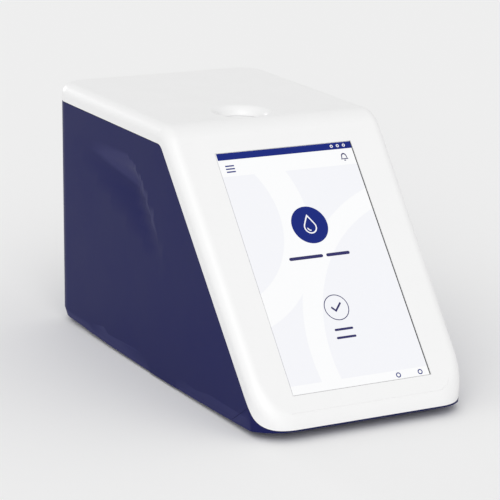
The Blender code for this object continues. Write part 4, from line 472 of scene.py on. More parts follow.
GRIP_DEPTH, GRIP_LENGTH, GRIP_FOOT_REACH, GRIP_FOOT_DROP = 0.0045, 0.0820, 0.0380, 0.0488
GRIP_TOP, GRIP_CORNER_Y = BODY_HEIGHT - 0.0320, TOP_EDGE_Y + 0.0373
NOSE_RUN, NOSE_EDGE, NOSE_SEAM_TOP, NOSE_SEAM_FOOT = 0.0170, 0.0059, 0.0166, 0.0380 - HALF_DEPTH
SIDE_EDGE_HEIGHT, SIDE_EDGE_RADIUS = 0.0017, 3.56
FACET_TOP, FACET_INSET, NOSE_FACET_TOP = 0.0093, 0.0022, 0.0120
GRIP_VALLEY, BACKING_SHIFT, BACKING_START = 0.0035, 0.0034, 0.0010
TOP_ROLL, FRONT_ROLL, CORNER_BLEND, FLOOR_BLEND, FLOOR_FADE = 0.0022, 0.0018, 0.0030, 0.0022, 0.0060
FOOT_GAP, CREASE_TOP = 0.0036, 0.0130
SCREW_INSET, SCREW_FRONT, SCREW_REAR = 0.0105, 0.0750, 0.0530
BOSS_RADIUS, BOSS_HEIGHT, BORE_RADIUS, BORE_HEIGHT, BUTTON_HOLE = 0.0052, 0.0180, 0.0018, 0.0113, 0.0063


def half_width(height):
    """Half the width of the drafted sides at a height."""
    return HALF_WIDTH - (BODY_HEIGHT - height) * DRAFT


def below_sides(name, rise):
    """What lies under the body in side view: a wide arc that turns up under the nose."""
    start, end = HALF_DEPTH + OVER, -HALF_DEPTH + NOSE_RUN
    line = []
    for step in range(33):
        along = start + (end - start) * step / 32
        drop = SIDE_EDGE_RADIUS - math.sqrt(SIDE_EDGE_RADIUS**2 - along**2)
        line.append((along, SIDE_EDGE_HEIGHT + drop + rise))
    slope = (NOSE_EDGE + rise - line[-1][1]) / NOSE_RUN
    line.append((-HALF_DEPTH - OVER, line[-1][1] + slope * (NOSE_RUN + OVER)))
    return traced(name, line + [(-HALF_DEPTH - OVER, -OVER), (start, -OVER)], BODY_WIDTH)


def seam_zone(name, gap):
    """The region ahead of the seam between housing and nose, moved to the rear by a gap."""
    top = Vector((slope_at(NOSE_SEAM_TOP, COVER_DEPTH) + gap, NOSE_SEAM_TOP))
    foot = Vector((NOSE_SEAM_FOOT + gap, FOOT_GAP))
    down = (foot - top).normalized()
    ahead = -HALF_DEPTH - OVER
    high, low = top - down * OVER * 2, foot + down * OVER
    return traced(name, [tuple(high), tuple(low), (ahead, low.y), (ahead, high.y)], BODY_WIDTH)


def other_side(item):
    """Mirrors a left-hand tool to the right."""
    item.scale.x = -1
    settled(item.name, item)
    bpy.ops.object.mode_set(mode="EDIT")
    bpy.ops.mesh.select_all(action="SELECT")
    bpy.ops.mesh.normals_make_consistent(inside=False)
    bpy.ops.object.mode_set(mode="OBJECT")
    return item


def grip_backing():
    """The wall behind the grip: a three-sided cone, its corners moved inside the rim, its valleys rounded."""
    top_edge = Vector((1, 0))
    front_edge = Vector((-GRIP_FOOT_REACH, -GRIP_FOOT_DROP)).normalized()
    half_angle = math.acos(top_edge.dot(front_edge)) / 2
    inner = (top_edge + front_edge).normalized() * (GRIP_DEPTH / math.sin(half_angle))
    deepest = Vector((GRIP_CORNER_Y + inner.x, GRIP_TOP + inner.y))
    tip = Vector((GRIP_DEPTH + BACKING_SHIFT - half_width(deepest.y), *deepest))
    corners = (
        (GRIP_CORNER_Y + GRIP_LENGTH, GRIP_TOP),
        (GRIP_CORNER_Y, GRIP_TOP),
        (GRIP_CORNER_Y - GRIP_FOOT_REACH, GRIP_TOP - GRIP_FOOT_DROP),
    )
    bpy.ops.mesh.primitive_cone_add(vertices=3, radius1=1, depth=1, location=(0, 0, 0))
    item = bpy.context.active_object
    bpy.ops.object.mode_set(mode="EDIT")
    grow = (GRIP_DEPTH + BACKING_SHIFT - BACKING_START) / GRIP_DEPTH
    rim = [Vector((BACKING_SHIFT - half_width(up), along, up)) for along, up in corners]
    targets = [tip + (corner - tip) * grow for corner in rim] + [tip]
    starts = [vertex.co.copy() for vertex in item.data.vertices]
    starts.sort(key=lambda place: (place.z > 0, place.y, place.x))
    for origin, target in zip(starts, targets):
        pick(item, "verts", lambda vertex: (vertex.co - origin).length < OVER)
        bpy.ops.transform.translate(value=target - origin)
    pick(item, "edges", lambda edge: any((v.co - tip).length < GAP for v in edge.verts))
    bpy.ops.mesh.bevel(offset=GRIP_VALLEY, segments=8, profile=0.5, affect="EDGES", clamp_overlap=False)
    bpy.ops.mesh.select_all(action="SELECT")
    bpy.ops.mesh.normals_make_consistent(inside=False)
    bpy.ops.object.mode_set(mode="OBJECT")
    return settled("grip_backing", item)


def eased(reach, softness):
    """A ramp that starts softly: nothing well before the edge, and the reach itself well past it."""
    if reach <= -softness:
        return 0.0
    return reach if reach >= softness else (reach + softness) ** 2 / (4 * softness)


def least(first, second, softness):
    """The lesser of two depths, blended where they are close, so that the valley between them is round."""
    share = max(0.0, softness - abs(first - second)) / softness
    return min(first, second) - share * share * softness / 4


def grip_depth(along, height):
    """How deep the grip is at a place on the side: two steep walls and a long floor, all rolled together."""
    corner, rear = Vector((GRIP_CORNER_Y, GRIP_TOP)), Vector((GRIP_CORNER_Y + GRIP_LENGTH, GRIP_TOP))
    foot = Vector((GRIP_CORNER_Y - GRIP_FOOT_REACH, GRIP_TOP - GRIP_FOOT_DROP))
    front_run, floor_run = (foot - corner).normalized(), (rear - foot).normalized()
    across_front = Vector((-front_run.y, front_run.x))
    across_floor = Vector((floor_run.y, -floor_run.x))
    here = Vector((along, height))
    from_top = GRIP_TOP - height
    from_front = (here - corner).dot(across_front)
    from_floor = -(here - foot).dot(across_floor)
    inner = Vector((1, 0)) + front_run
    tip = corner + inner.normalized() * GRIP_DEPTH / math.sin(math.acos(front_run.x) / 2)
    share = (from_floor + FLOOR_FADE) / (FLOOR_FADE - (tip - foot).dot(across_floor))
    share = max(0.0, min(1.0, share))
    walls = least(eased(from_top, TOP_ROLL), eased(from_front, FRONT_ROLL), CORNER_BLEND)
    return least(walls, GRIP_DEPTH * share * share * (3 - 2 * share), FLOOR_BLEND)


def grip_hollow(name):
    """A grid on the side, its points pushed in to the grip's depth, then thickened out past the body."""
    reach_y, reach_z, skin = (-0.0300, 0.1180), (0.0600, 0.1340), 0.000004
    middle = (0, sum(reach_y) / 2, sum(reach_z) / 2)
    bpy.ops.mesh.primitive_grid_add(x_subdivisions=120, y_subdivisions=230, size=1, location=middle,
                                    rotation=(0, math.pi / 2, 0),
                                    scale=(reach_z[1] - reach_z[0], reach_y[1] - reach_y[0], 1))
    item = settled(name)
    bpy.ops.object.mode_set(mode="EDIT")
    form = bmesh.from_edit_mesh(item.data)
    for vertex in form.verts:
        vertex.co.x = grip_depth(vertex.co.y, vertex.co.z) - half_width(vertex.co.z) - skin
    bmesh.update_edit_mesh(item.data)
    bpy.ops.mesh.select_all(action="SELECT")
    bpy.ops.mesh.extrude_region_move(TRANSFORM_OT_translate={"value": (-OVER, 0, 0)})
    bpy.ops.mesh.select_all(action="SELECT")
    bpy.ops.mesh.normals_make_consistent(inside=False)
    bpy.ops.object.mode_set(mode="OBJECT")
    bpy.ops.object.shade_smooth()
    return item


def skirt_place(along, height, inset):
    """A place at an inset under the left side, or past the corner under the rear, by its way along them."""
    corner_start = HALF_DEPTH - REAR_RADIUS
    turn = max(0.0, min(math.pi / 2, (along - corner_start) / REAR_RADIUS))
    outward = Vector((-math.cos(turn), math.sin(turn), 0))
    spot = Vector((REAR_RADIUS - half_width(height), corner_start, height)) + outward * (REAR_RADIUS - inset)
    if along < corner_start:
        spot.y = along
    elif turn == math.pi / 2:
        spot.x += along - corner_start - REAR_RADIUS * math.pi / 2
    return spot


def facet_tool(name, stations):
    """Four-sided rings traced along the foot of the side and bridged; each has a way, a top and an inset."""
    rings = []
    for along, top, inset in stations:
        lean = inset / (top - SIDE_EDGE_HEIGHT)
        clear = 0 if inset else GAP
        section = (
            (top + OVER, -lean * OVER - clear),
            (-OVER, inset + lean * (OVER + SIDE_EDGE_HEIGHT) - clear),
            (-OVER, -OVER),
            (top + OVER, -OVER),
        )
        ring = trace([skirt_place(along, height, depth) for height, depth in section])
        bpy.ops.mesh.select_all(action="SELECT")
        bpy.ops.mesh.edge_face_add()
        bpy.ops.mesh.delete(type="ONLY_FACE")
        bpy.ops.object.mode_set(mode="OBJECT")
        rings.append(settled(name, ring))
    for ring in rings:
        ring.select_set(True)
    bpy.ops.object.join()
    item = bpy.context.active_object
    bpy.ops.object.mode_set(mode="EDIT")
    bpy.ops.mesh.select_mode(type="EDGE")
    bpy.ops.mesh.select_all(action="SELECT")
    bpy.ops.mesh.bridge_edge_loops()
    bpy.ops.mesh.select_all(action="SELECT")
    bpy.ops.mesh.fill_holes(sides=4)
    bpy.ops.mesh.select_all(action="SELECT")
    bpy.ops.mesh.normals_make_consistent(inside=False)
    bpy.ops.object.mode_set(mode="OBJECT")
    return settled(name, item)


def rear_facet(name):
    """The facet from the plain land in the middle of the side, round the rear corner."""
    straight, bend = HALF_DEPTH - REAR_RADIUS, REAR_RADIUS * math.pi / 2
    shares = ((0.0, 0.0), (0.07, 0.2), (0.5, 0.25), (0.72, 0.42), (1.0, 0.85))
    stations = [(straight * way, FACET_TOP, FACET_INSET * share) for way, share in shares]
    stations += [(straight + bend * step / 12, FACET_TOP, FACET_INSET) for step in range(1, 13)]
    return facet_tool(name, stations + [(straight + bend + OVER, FACET_TOP, 0)])


def front_facet(name):
    """The facet from the plain land forward, over the seam and the nose, which grows taller."""
    start, run = -0.0200, 0.0200 - HALF_DEPTH
    shares = ((0.0, 0.0), (0.1, 0.15), (0.45, 0.22), (1.0, 0.3))
    rise = NOSE_FACET_TOP - FACET_TOP
    stations = [(start + run * way, FACET_TOP + rise * way, FACET_INSET * share) for way, share in shares]
    return facet_tool(name, stations)


def drum(name, centre, radius, low, high, segments=48):
    """A cylinder primitive between two heights."""
    middle = (*centre[:2], (low + high) / 2)
    bpy.ops.mesh.primitive_cylinder_add(
        vertices=segments, radius=radius, depth=high - low, location=middle,
    )
    return settled(name)


housing = body_blank("housing_shell", 0.0, 0.0, FINE)
carve(housing, "DIFFERENCE", below_sides("housing_foot", 0.0))
carve(housing, "INTERSECT", under_cover("housing_parting", -GAP / 2))
cavity = body_blank("housing_cavity", WALL, -OVER, PLAIN)
carve(housing, "DIFFERENCE", seam_zone("housing_seam", GAP / 2), cavity)
for mirror in (False, True):
    backing = grip_backing()
    facets = [rear_facet("rear_facet"), front_facet("front_facet")]
    if mirror:
        for tool in (backing, *facets):
            other_side(tool)
    carve(backing, "INTERSECT", body_blank("backing_limit", WALL / 2, 0.0, PLAIN))
    carve(housing, "UNION", backing)
    carve(housing, "DIFFERENCE", *facets)

screw_rows = (SCREW_FRONT - HALF_DEPTH, HALF_DEPTH - SCREW_REAR)
screw_places = [(side * (HALF_WIDTH - SCREW_INSET), along) for side in (-1, 1) for along in screw_rows]
boss_foot = FOOT_GAP + WALL
for place in screw_places:
    boss = drum("screw_boss", place, BOSS_RADIUS, boss_foot + GAP, boss_foot + BOSS_HEIGHT)
    carve(boss, "INTERSECT", body_blank("boss_limit", WALL / 2, 0.0, 6))
    carve(housing, "UNION", boss)
    carve(housing, "DIFFERENCE", drum("screw_bore", place, BORE_RADIUS, 0, FOOT_GAP + BORE_HEIGHT, 24))
for socket in ("network_socket", "usb_socket_1", "usb_socket_2", "power_inlet"):
    low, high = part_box(socket)
    hole = cuboid("socket_hole", (low[0] - GAP, HALF_DEPTH - WALL - OVER, low[2] - GAP),
                  (high[0] + GAP, HALF_DEPTH + OVER, high[2] + GAP))
    carve(housing, "DIFFERENCE", hole)
button_low, button_high = (Vector(corner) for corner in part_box("power_button"))
button_axis = (button_low + button_high) / 2
button_hole = drum("button_hole", (0, 0), BUTTON_HOLE, -OVER, OVER)
button_hole.rotation_euler = (math.pi / 2, 0, 0)
button_hole.location = (button_axis.x, HALF_DEPTH, button_axis.z)
carve(housing, "DIFFERENCE", settled("button_hole", button_hole))
softened(tidied(housing), crease_top=CREASE_TOP)
carve(housing, "DIFFERENCE", grip_hollow("left_hollow"), other_side(grip_hollow("right_hollow")))
finished(housing, blue_abs, "body", "blue_plastic", "main_housing")


# Base: the bottom plate between the housing's walls, with the nose that turns up under the cover's lip.
# It is the same blue plastic, screwed up into the housing's bosses from below.
# Round pockets hold the feet, and five slots let the speaker's sound out.

NOSE_OVERLAP = 0.0080
FOOT_RADIUS, FOOT_POCKET, FOOT_INSET, FOOT_FRONT, FOOT_REAR = 0.0075, 0.0011, 0.0225, 0.0500, 0.0270
SEAT_RADIUS, SEAT_HEIGHT = 0.0033, 0.0017
SPEAKER_INSET, SPEAKER_FRONT = 0.0345, 0.0790
SLOT_PITCH, SLOT_HALF_LENGTH, SLOT_HALF_WIDTH = 0.0042, 0.0090, 0.0009
foot_rows = (FOOT_FRONT - HALF_DEPTH, HALF_DEPTH - FOOT_REAR)
foot_places = [(side * (HALF_WIDTH - FOOT_INSET), along) for side in (-1, 1) for along in foot_rows]

base = body_blank("base_shell", 0.0, 0.0, FINE)
carve(base, "DIFFERENCE", below_sides("base_foot", 0.0))
carve(base, "INTERSECT", under_cover("base_parting", -GAP / 2), seam_zone("base_seam", -GAP / 2))
nose_hollow = body_blank("nose_hollow", WALL, FOOT_GAP + WALL, PLAIN)
carve(nose_hollow, "DIFFERENCE", below_sides("nose_floor", WALL))
carve(base, "DIFFERENCE", nose_hollow, front_facet("left_facet"), other_side(front_facet("right_facet")))
slab = cuboid("floor_slab", (-BODY_WIDTH, NOSE_SEAM_FOOT - NOSE_OVERLAP, 0),
              (BODY_WIDTH, HALF_DEPTH, FOOT_GAP + WALL))
carve(slab, "INTERSECT", body_blank("plate_limit", WALL + GAP, FOOT_GAP, PLAIN))
carve(base, "UNION", slab)
for place in screw_places:
    carve(base, "DIFFERENCE", drum("head_seat", place, SEAT_RADIUS, -OVER, FOOT_GAP + SEAT_HEIGHT))
    carve(base, "DIFFERENCE", drum("shank_hole", place, BORE_RADIUS, 0, OVER, 24))
for place in foot_places:
    carve(base, "DIFFERENCE", drum("foot_pocket", place, FOOT_RADIUS + GAP, -OVER, FOOT_GAP + FOOT_POCKET))
speaker_x, speaker_y = HALF_WIDTH - SPEAKER_INSET, SPEAKER_FRONT - HALF_DEPTH
for row in range(-2, 3):
    along = speaker_y + row * SLOT_PITCH
    slot = cuboid("sound_slot", (speaker_x - SLOT_HALF_LENGTH, along - SLOT_HALF_WIDTH, -OVER),
                  (speaker_x + SLOT_HALF_LENGTH, along + SLOT_HALF_WIDTH, OVER))
    carve(base, "DIFFERENCE", slot)
finished(softened(tidied(base), crease_top=CREASE_TOP), blue_abs, "body", "blue_plastic", "base_plate")


# Feet: four moulded rubber buttons pressed into the base's round pockets.
# Each has a rounded rim and a shallow ring round its middle, and holds the body just off the bench.

foot = lathed("rubber_foot_1", [
    (0, 0.0004), (0.0032, 0.0004), (0.0038, 0), (0.0058, 0), (0.0066, 0.0004), (0.0070, 0.0012),
    (0.0072, 0.0040), (0.0068, 0.0044), (0, 0.0044),
], 64)
rubber, tree, shader = blank_material("foot_rubber", Specular_IOR_Level=0.3)
grain = shader_node(tree, "Group", node_tree=grain_group)
grain.inputs["Grain Scale"].default_value, grain.inputs["Mottle Scale"].default_value = 1800.0, 120.0
mottle = grain.outputs["Mottle"]
tree.links.new(tint(tree, mottle, (0.020, 0.020, 0.021), (0.035, 0.034, 0.033)), shader.inputs["Base Color"])
tree.links.new(spread(tree, mottle, 0.60, 0.80), shader.inputs["Roughness"])
bumped(tree, shader, grain.outputs["Height"], 0.00003)


def copied(item, name, place):
    """A copy with its own mesh, moved to its place, which is applied to the mesh."""
    only(item)
    bpy.ops.object.duplicate()
    twin = bpy.context.active_object
    twin.location = place
    return settled(name, twin)


only(foot)
bpy.ops.object.shade_smooth_by_angle(angle=math.radians(35))
for index, place in enumerate(foot_places, 1):
    finished(copied(foot, f"rubber_foot_{index}", (*place, 0)), rubber, "body", "rubber", f"foot_{index}")
bpy.data.objects.remove(foot, do_unlink=True)


# Base screws: four plated steel screws with domed heads and cross recesses, in seats under the base.
# They pass up through the plate into the housing's bosses.

HEAD_RADIUS, SHANK_RADIUS = 0.0030, 0.0015
screw = lathed("base_screw", [
    (0, FOOT_GAP), (0.0014, FOOT_GAP + 0.00004), (0.0024, FOOT_GAP + 0.0002), (0.0029, FOOT_GAP + 0.0007),
    (HEAD_RADIUS, FOOT_GAP + 0.0011), (HEAD_RADIUS, FOOT_GAP + 0.0015), (SHANK_RADIUS, FOOT_GAP + 0.0017),
    (SHANK_RADIUS, FOOT_GAP + 0.0100), (0.0004, FOOT_GAP + 0.0110), (0, FOOT_GAP + 0.0110),
], 48)
for reach in ((0.0018, 0.00035), (0.00035, 0.0018)):
    slit = cuboid("cross_slit", (-reach[0], -reach[1], FOOT_GAP - OVER), (*reach, FOOT_GAP + 0.0010))
    carve(screw, "DIFFERENCE", slit)
softened(tidied(screw), 0.00006, 1)


def turned_metal(name, pale, deep, gloss, line_scale, **values):
    """Metal with fine turning or grinding lines in one direction and a soft mottle."""
    made, tree, shader = blank_material(name, Metallic=1.0, **values)
    place = shader_node(tree, "TexCoord").outputs["Object"]
    drawn = shader_node(tree, "Mapping", Vector=place, Scale=line_scale)
    lines = shader_node(tree, "TexNoise", Vector=drawn.outputs["Vector"], Scale=1.0, Detail=4.0)
    tree.links.new(tint(tree, lines.outputs["Fac"], pale, deep), shader.inputs["Base Color"])
    tree.links.new(spread(tree, lines.outputs["Fac"], *gloss), shader.inputs["Roughness"])
    bumped(tree, shader, lines.outputs["Fac"], 0.000004)
    return made


plated_steel = turned_metal("plated_steel", (0.60, 0.60, 0.61), (0.48, 0.48, 0.50), (0.22, 0.40),
                            (900, 900, 900))
for index, place in enumerate(screw_places, 1):
    twin = copied(screw, f"cross_screw_{index}", (*place, 0))
    finished(twin, plated_steel, "body", "screw_steel", f"base_screw_{index}")
bpy.data.objects.remove(screw, do_unlink=True)


# Touch screen: a sheet of glass bonded over a lit display, flush with the white front.
# A thin dark line down its right edge is painted shade, standing for the shadow in the gap beside the glass.
# The picture is a plain menu page: bars, a round start button and small icons, with blank bars for words.

NAV_FOOT, FOOTER_TOP, PAGE_EDGE = -0.0347, -0.1655, 0.0001
PALE_ARCS, ARC_EDGE = (((0.078, -0.150, 0), 0.098, 0.006), ((-0.070, -0.062, 0), 0.062, 0.009)), 0.0006
PAGE_GREY, PAGE_PALE = (0.795, 0.800, 0.830), (0.845, 0.848, 0.855)
MARK_PROUD, MARK_SUNK = 0.00003, 0.00004


def reckoned(tree, operation, first, second=0.0):
    """A sum or comparison of a mask with a number or with another mask."""
    made = shader_node(tree, "Math", operation=operation)
    tree.links.new(first, made.inputs[0])
    if isinstance(second, bpy.types.NodeSocket):
        tree.links.new(second, made.inputs[1])
    else:
        made.inputs[1].default_value = second
    return made.outputs["Value"]


picture, tree, shader = blank_material("screen_picture", Roughness=0.08, Emission_Strength=0.10)
turned = shader_node(tree, "Mapping", Vector=shader_node(tree, "TexCoord").outputs["Object"],
                     vector_type="TEXTURE", Location=(0, TOP_EDGE_Y, BODY_HEIGHT), Rotation=(SLOPE, 0, 0))
axes = shader_node(tree, "SeparateXYZ", Vector=turned.outputs["Vector"])
flat = shader_node(tree, "CombineXYZ", X=axes.outputs["X"], Y=axes.outputs["Y"]).outputs["Vector"]
bands = []
for centre, radius, half_breadth in PALE_ARCS:
    reach = shader_node(tree, "VectorMath", operation="DISTANCE")
    tree.links.new(flat, reach.inputs[0])
    reach.inputs[1].default_value = centre
    away = reckoned(tree, "ABSOLUTE", reckoned(tree, "SUBTRACT", reach.outputs["Value"], radius))
    bands.append(spread(tree, away, 1.0, 0.0, half_breadth, half_breadth + ARC_EDGE))
page = tint(tree, reckoned(tree, "MAXIMUM", *bands), PAGE_GREY, PAGE_PALE)
above = spread(tree, axes.outputs["Y"], 0.0, 1.0, NAV_FOOT, NAV_FOOT + PAGE_EDGE)
below = spread(tree, axes.outputs["Y"], 1.0, 0.0, FOOTER_TOP - PAGE_EDGE, FOOTER_TOP)
for band in (above, below):
    page = tint(tree, band, page, PAGE_PALE)
smudge = shader_node(tree, "TexNoise", Vector=flat, Scale=28.0, Detail=3.0)
tree.links.new(page, shader.inputs["Base Color"])
tree.links.new(page, shader.inputs["Emission Color"])
tree.links.new(spread(tree, smudge.outputs["Fac"], 0.05, 0.12), shader.inputs["Roughness"])
dress(picture, "touch_glass")


def inked(name, colour):
    """A colour on the lit screen, with a trace of unevenness."""
    made, tree, shader = blank_material(name, Emission_Strength=0.08, Specular_IOR_Level=0.2)
    place = shader_node(tree, "TexCoord").outputs["Object"]
    cloud = shader_node(tree, "TexNoise", Vector=place, Scale=60.0, Detail=2.0)
    shade = tint(tree, cloud.outputs["Fac"], colour, tuple(value * 1.08 + 0.001 for value in colour))
    tree.links.new(shade, shader.inputs["Base Color"])
    tree.links.new(shade, shader.inputs["Emission Color"])
    tree.links.new(spread(tree, cloud.outputs["Fac"], 0.06, 0.12), shader.inputs["Roughness"])
    return made


navy_ink = inked("navy_ink", (0.001, 0.012, 0.170))
slate_ink = inked("slate_ink", (0.024, 0.022, 0.110))
pale_ink = inked("pale_ink", (0.82, 0.82, 0.84))
# This dark ink is painted shade for the gap beside the glass's right edge.
gap_shade_ink = inked("gap_shade_ink", (0.022, 0.023, 0.020))


def arc_points(across, down, radius, start=0, sweep=360, steps=48):
    """Points along an arc on the screen, in degrees from the right, counter-clockwise."""
    count = steps if sweep == 360 else steps + 1
    turns = [math.radians(start + sweep * step / steps) for step in range(count)]
    return [(across + radius * math.cos(turn), -down + radius * math.sin(turn)) for turn in turns]


def bar_points(left, right, top, foot, radius=0.0):
    """Points round a bar on the screen, with its corners rounded."""
    if not radius:
        return [(left, -foot), (right, -foot), (right, -top), (left, -top)]
    corners = ((right - radius, top + radius, 0), (left + radius, top + radius, 90),
               (left + radius, foot - radius, 180), (right - radius, foot - radius, 270))
    return [point for x, y, start in corners for point in arc_points(x, y, radius, start, 90, 4)]


def drop_points(across, down, radius, height):
    """Points round a drop: a circle below, drawn up to a point."""
    round_part = arc_points(across, down, radius, 150, 240, 24)
    return round_part + [(across + radius * 0.35, -down + height * 0.72), (across, -down + height),
                         (across - radius * 0.35, -down + height * 0.72)]


def mark(name, points, material, layer=1, holes=()):
    """A thin mark on the screen: its outline traced and filled, then given a hair's thickness."""
    item = trace([(x, y, -MARK_SUNK) for x, y in points])
    bpy.ops.mesh.select_all(action="SELECT")
    bpy.ops.mesh.edge_face_add()
    rise = (0, 0, MARK_SUNK + MARK_PROUD * layer)
    bpy.ops.mesh.extrude_region_move(TRANSFORM_OT_translate={"value": rise})
    bpy.ops.mesh.select_all(action="SELECT")
    bpy.ops.mesh.normals_make_consistent(inside=False)
    bpy.ops.object.mode_set(mode="OBJECT")
    settled(name, item)
    for index, hole in enumerate(holes):
        tool = mark(f"{name}_hole_{index}", hole, None, layer + 4)
        tool.location.z -= MARK_PROUD
        carve(item, "DIFFERENCE", settled(tool.name, tool))
    if material is None:
        return item
    return finished(on_face(item), material, "body", "screen_glass")


SCREEN_EDGE = SCREEN_HALF_WIDTH - 0.0004
status = bar_points(-SCREEN_EDGE, SCREEN_EDGE, SCREEN_START + 0.0001, SCREEN_START + 0.0045)
mark("status_bar", status, navy_ink)
for index in range(3):
    left = SCREEN_HALF_WIDTH - 0.0140 + index * 0.0042
    middle = SCREEN_START + 0.0023
    mark(f"status_sign_{index + 1}", arc_points(left, middle, 0.0010, steps=16), pale_ink, 2,
         [arc_points(left, middle, 0.0005, steps=12)])
for index in range(3):
    top = SCREEN_START + 0.0080 + index * 0.0019
    mark(f"menu_bar_{index + 1}", bar_points(-0.0419, -0.0361, top, top + 0.0008), navy_ink)
BELL_X, BELL_DOWN = 0.0379, 0.0294
bell_outer = [(0.0026, -0.0016), (0.0020, -0.0008), (0.0018, 0.0010), (0.0011, 0.0021), (0, 0.0025)]
bell_shape = bell_outer + [(-x, y) for x, y in reversed(bell_outer[:-1])]
bell_inner = [(x * 0.68, y * 0.66) for x, y in bell_shape]
bell_hole = [(BELL_X + x, y - BELL_DOWN) for x, y in bell_inner]
mark("bell", [(BELL_X + x, y - BELL_DOWN) for x, y in bell_shape], slate_ink, 1, [bell_hole])
mark("bell_clapper", arc_points(BELL_X, BELL_DOWN + 0.0020, 0.0007, 180, 180, 8), slate_ink)
START_DOWN = 0.0702
mark("start_button", arc_points(0, START_DOWN, 0.0118, steps=72), navy_ink)
mark("start_drop", drop_points(0, START_DOWN + 0.0014, 0.0042, 0.0082), pale_ink, 2,
     [drop_points(0, START_DOWN + 0.0014, 0.0034, 0.0066)])
mark("drop_gleam", arc_points(0, START_DOWN + 0.0014, 0.0024, 190, 80, 10)
     + list(reversed(arc_points(0, START_DOWN + 0.0014, 0.0017, 190, 80, 10))), pale_ink, 2)
captions = (
    (-0.0205, 0.0020, 0.0901, 0.0020), (0.0042, 0.0200, 0.0901, 0.0020),
    (-0.0065, 0.0058, 0.1362, 0.0014), (-0.0068, 0.0062, 0.1412, 0.0014),
)
for index, (left, right, down, tall) in enumerate(captions, 1):
    caption = bar_points(left, right, down - tall / 2, down + tall / 2, tall / 2.01)
    mark(f"caption_bar_{index}", caption, slate_ink)
CHECK_X, CHECK_DOWN = -0.0005, 0.1227
mark("check_ring", arc_points(CHECK_X, CHECK_DOWN, 0.0080, steps=64), slate_ink, 1,
     [arc_points(CHECK_X, CHECK_DOWN, 0.0075, steps=64)])
tick = [(-0.0038, 0.0001), (-0.0030, 0.0009), (-0.0010, -0.0012), (0.0030, 0.0030), (0.0038, 0.0022),
        (-0.0010, -0.0028)]
mark("check_tick", [(CHECK_X + x, y - CHECK_DOWN) for x, y in tick], slate_ink)
FOOT_SIGN_DOWN, FOOT_SIGNS = 0.1684, (0.0246, 0.0393)
for index, across in enumerate(FOOT_SIGNS, 1):
    mark(f"foot_sign_{index}", arc_points(across, FOOT_SIGN_DOWN, 0.0016, steps=24), navy_ink, 1,
         [arc_points(across, FOOT_SIGN_DOWN, 0.0010, steps=24)])
# Painted shade: a thin dark strip down the glass's right edge stands for the shadow in the gap there.
gap_shade_outline = bar_points(SCREEN_HALF_WIDTH - 0.0007, SCREEN_HALF_WIDTH - 0.0001, SCREEN_START, SCREEN_END)
mark("painted_gap_shade", gap_shade_outline, gap_shade_ink)


# Lid: a white moulded plate that closes the recess, with a shallow dish for the fingertip.
# Its own plate and rack stay, and this is the polished face of the dish.

LID_TOP, DISH_RADIUS, DISH_DEPTH, DISH_SKIN = 0.1492, 0.0114, 0.00072, 0.0005
dish_curve = [(DISH_RADIUS * share, LID_TOP - DISH_DEPTH * (1 - share**2)) for share in
              (step / 10 for step in range(11))]
dish_foot = LID_TOP - DISH_DEPTH - DISH_SKIN
dish = lathed("lid_dish", [*dish_curve, (DISH_RADIUS, dish_foot), (0, dish_foot)], place=WELL)
bpy.ops.object.shade_smooth_by_angle(angle=math.radians(35))
finished(dish, white_abs, "sliding_lid", "white_plastic")
dress(white_abs, "lid", "cuvette_carrier")


# Power button: a white moulded cap on a spring at the rear, dished for the fingertip.
# A ring with a bar, the common sign for power, is moulded into it.

SIGN_INNER, SIGN_OUTER, SIGN_DEPTH, SIGN_BREAK = 0.0019, 0.0023, 0.0008, 0.0009
BAR_HALF, BAR_FOOT, BAR_TOP = 0.0002, 0.0006, 0.0025
button_seat = {"place": (button_axis.x, HALF_DEPTH, button_axis.z), "turn": (-math.pi / 2, 0, 0)}
cap = lathed("power_cap", [
    (0, -0.0005), (0.0030, -0.00045), (0.0048, -0.00022), (0.0055, -0.00003), (0.0058, -0.0002),
    (0.0060, -0.0007), (0.0060, -0.0048), (0.0071, -0.0050), (0.0071, -0.0059), (0, -0.0059),
], **button_seat)
sign_ring = lathed("sign_ring", [
    (SIGN_INNER, -SIGN_DEPTH), (SIGN_OUTER, -SIGN_DEPTH), (SIGN_OUTER, OVER), (SIGN_INNER, OVER),
    (SIGN_INNER, -SIGN_DEPTH),
], **button_seat)
gap_block = cuboid("sign_gap", (button_axis.x - SIGN_BREAK, HALF_DEPTH - OVER, button_axis.z),
                   (button_axis.x + SIGN_BREAK, HALF_DEPTH + OVER * 2, button_axis.z + OVER))
carve(sign_ring, "DIFFERENCE", gap_block)
sign_bar = cuboid("sign_bar", (button_axis.x - BAR_HALF, HALF_DEPTH - SIGN_DEPTH, button_axis.z + BAR_FOOT),
                  (button_axis.x + BAR_HALF, HALF_DEPTH + OVER, button_axis.z + BAR_TOP))
carve(cap, "DIFFERENCE", sign_ring, sign_bar)
finished(softened(tidied(cap), 0.00005, 1), white_abs, "button", "button_plastic", "power_button")


# Rear sockets: plated shells soldered to the main board's edge, and a black power inlet.
# The network socket holds eight sprung contacts, and each USB socket a black tongue.

CONTACT_HALF, CONTACT_DROP, CONTACT_PITCH = 0.0002, 0.0024, 0.00102
CONTACT_FRONT, CONTACT_REAR, CONTACT_FOOT, CONTACT_TOP = 0.1240, 0.1330, 0.0255, 0.0259
TONGUE_HALF, TONGUE_FRONT, TONGUE_REAR, TONGUE_FOOT, TONGUE_TOP = 0.0055, 0.1236, 0.1334, 0.0198, 0.0214
STRIP_HALF, STRIP_PITCH, STRIP_FRONT, STRIP_REAR = 0.0005, 0.0024, 0.1250, 0.1328
STRIP_FOOT, STRIP_TOP = 0.01974, 0.0199
gold = turned_metal("contact_gold", (0.80, 0.58, 0.25), (0.70, 0.48, 0.18), (0.20, 0.35), (700, 700, 700))
black_abs = moulded("black_abs", (0.015, 0.015, 0.016), (0.022, 0.022, 0.024), (0.45, 0.6))
network_low, network_high = (Vector(corner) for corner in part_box("network_socket"))
middle_x = (network_low.x + network_high.x) / 2
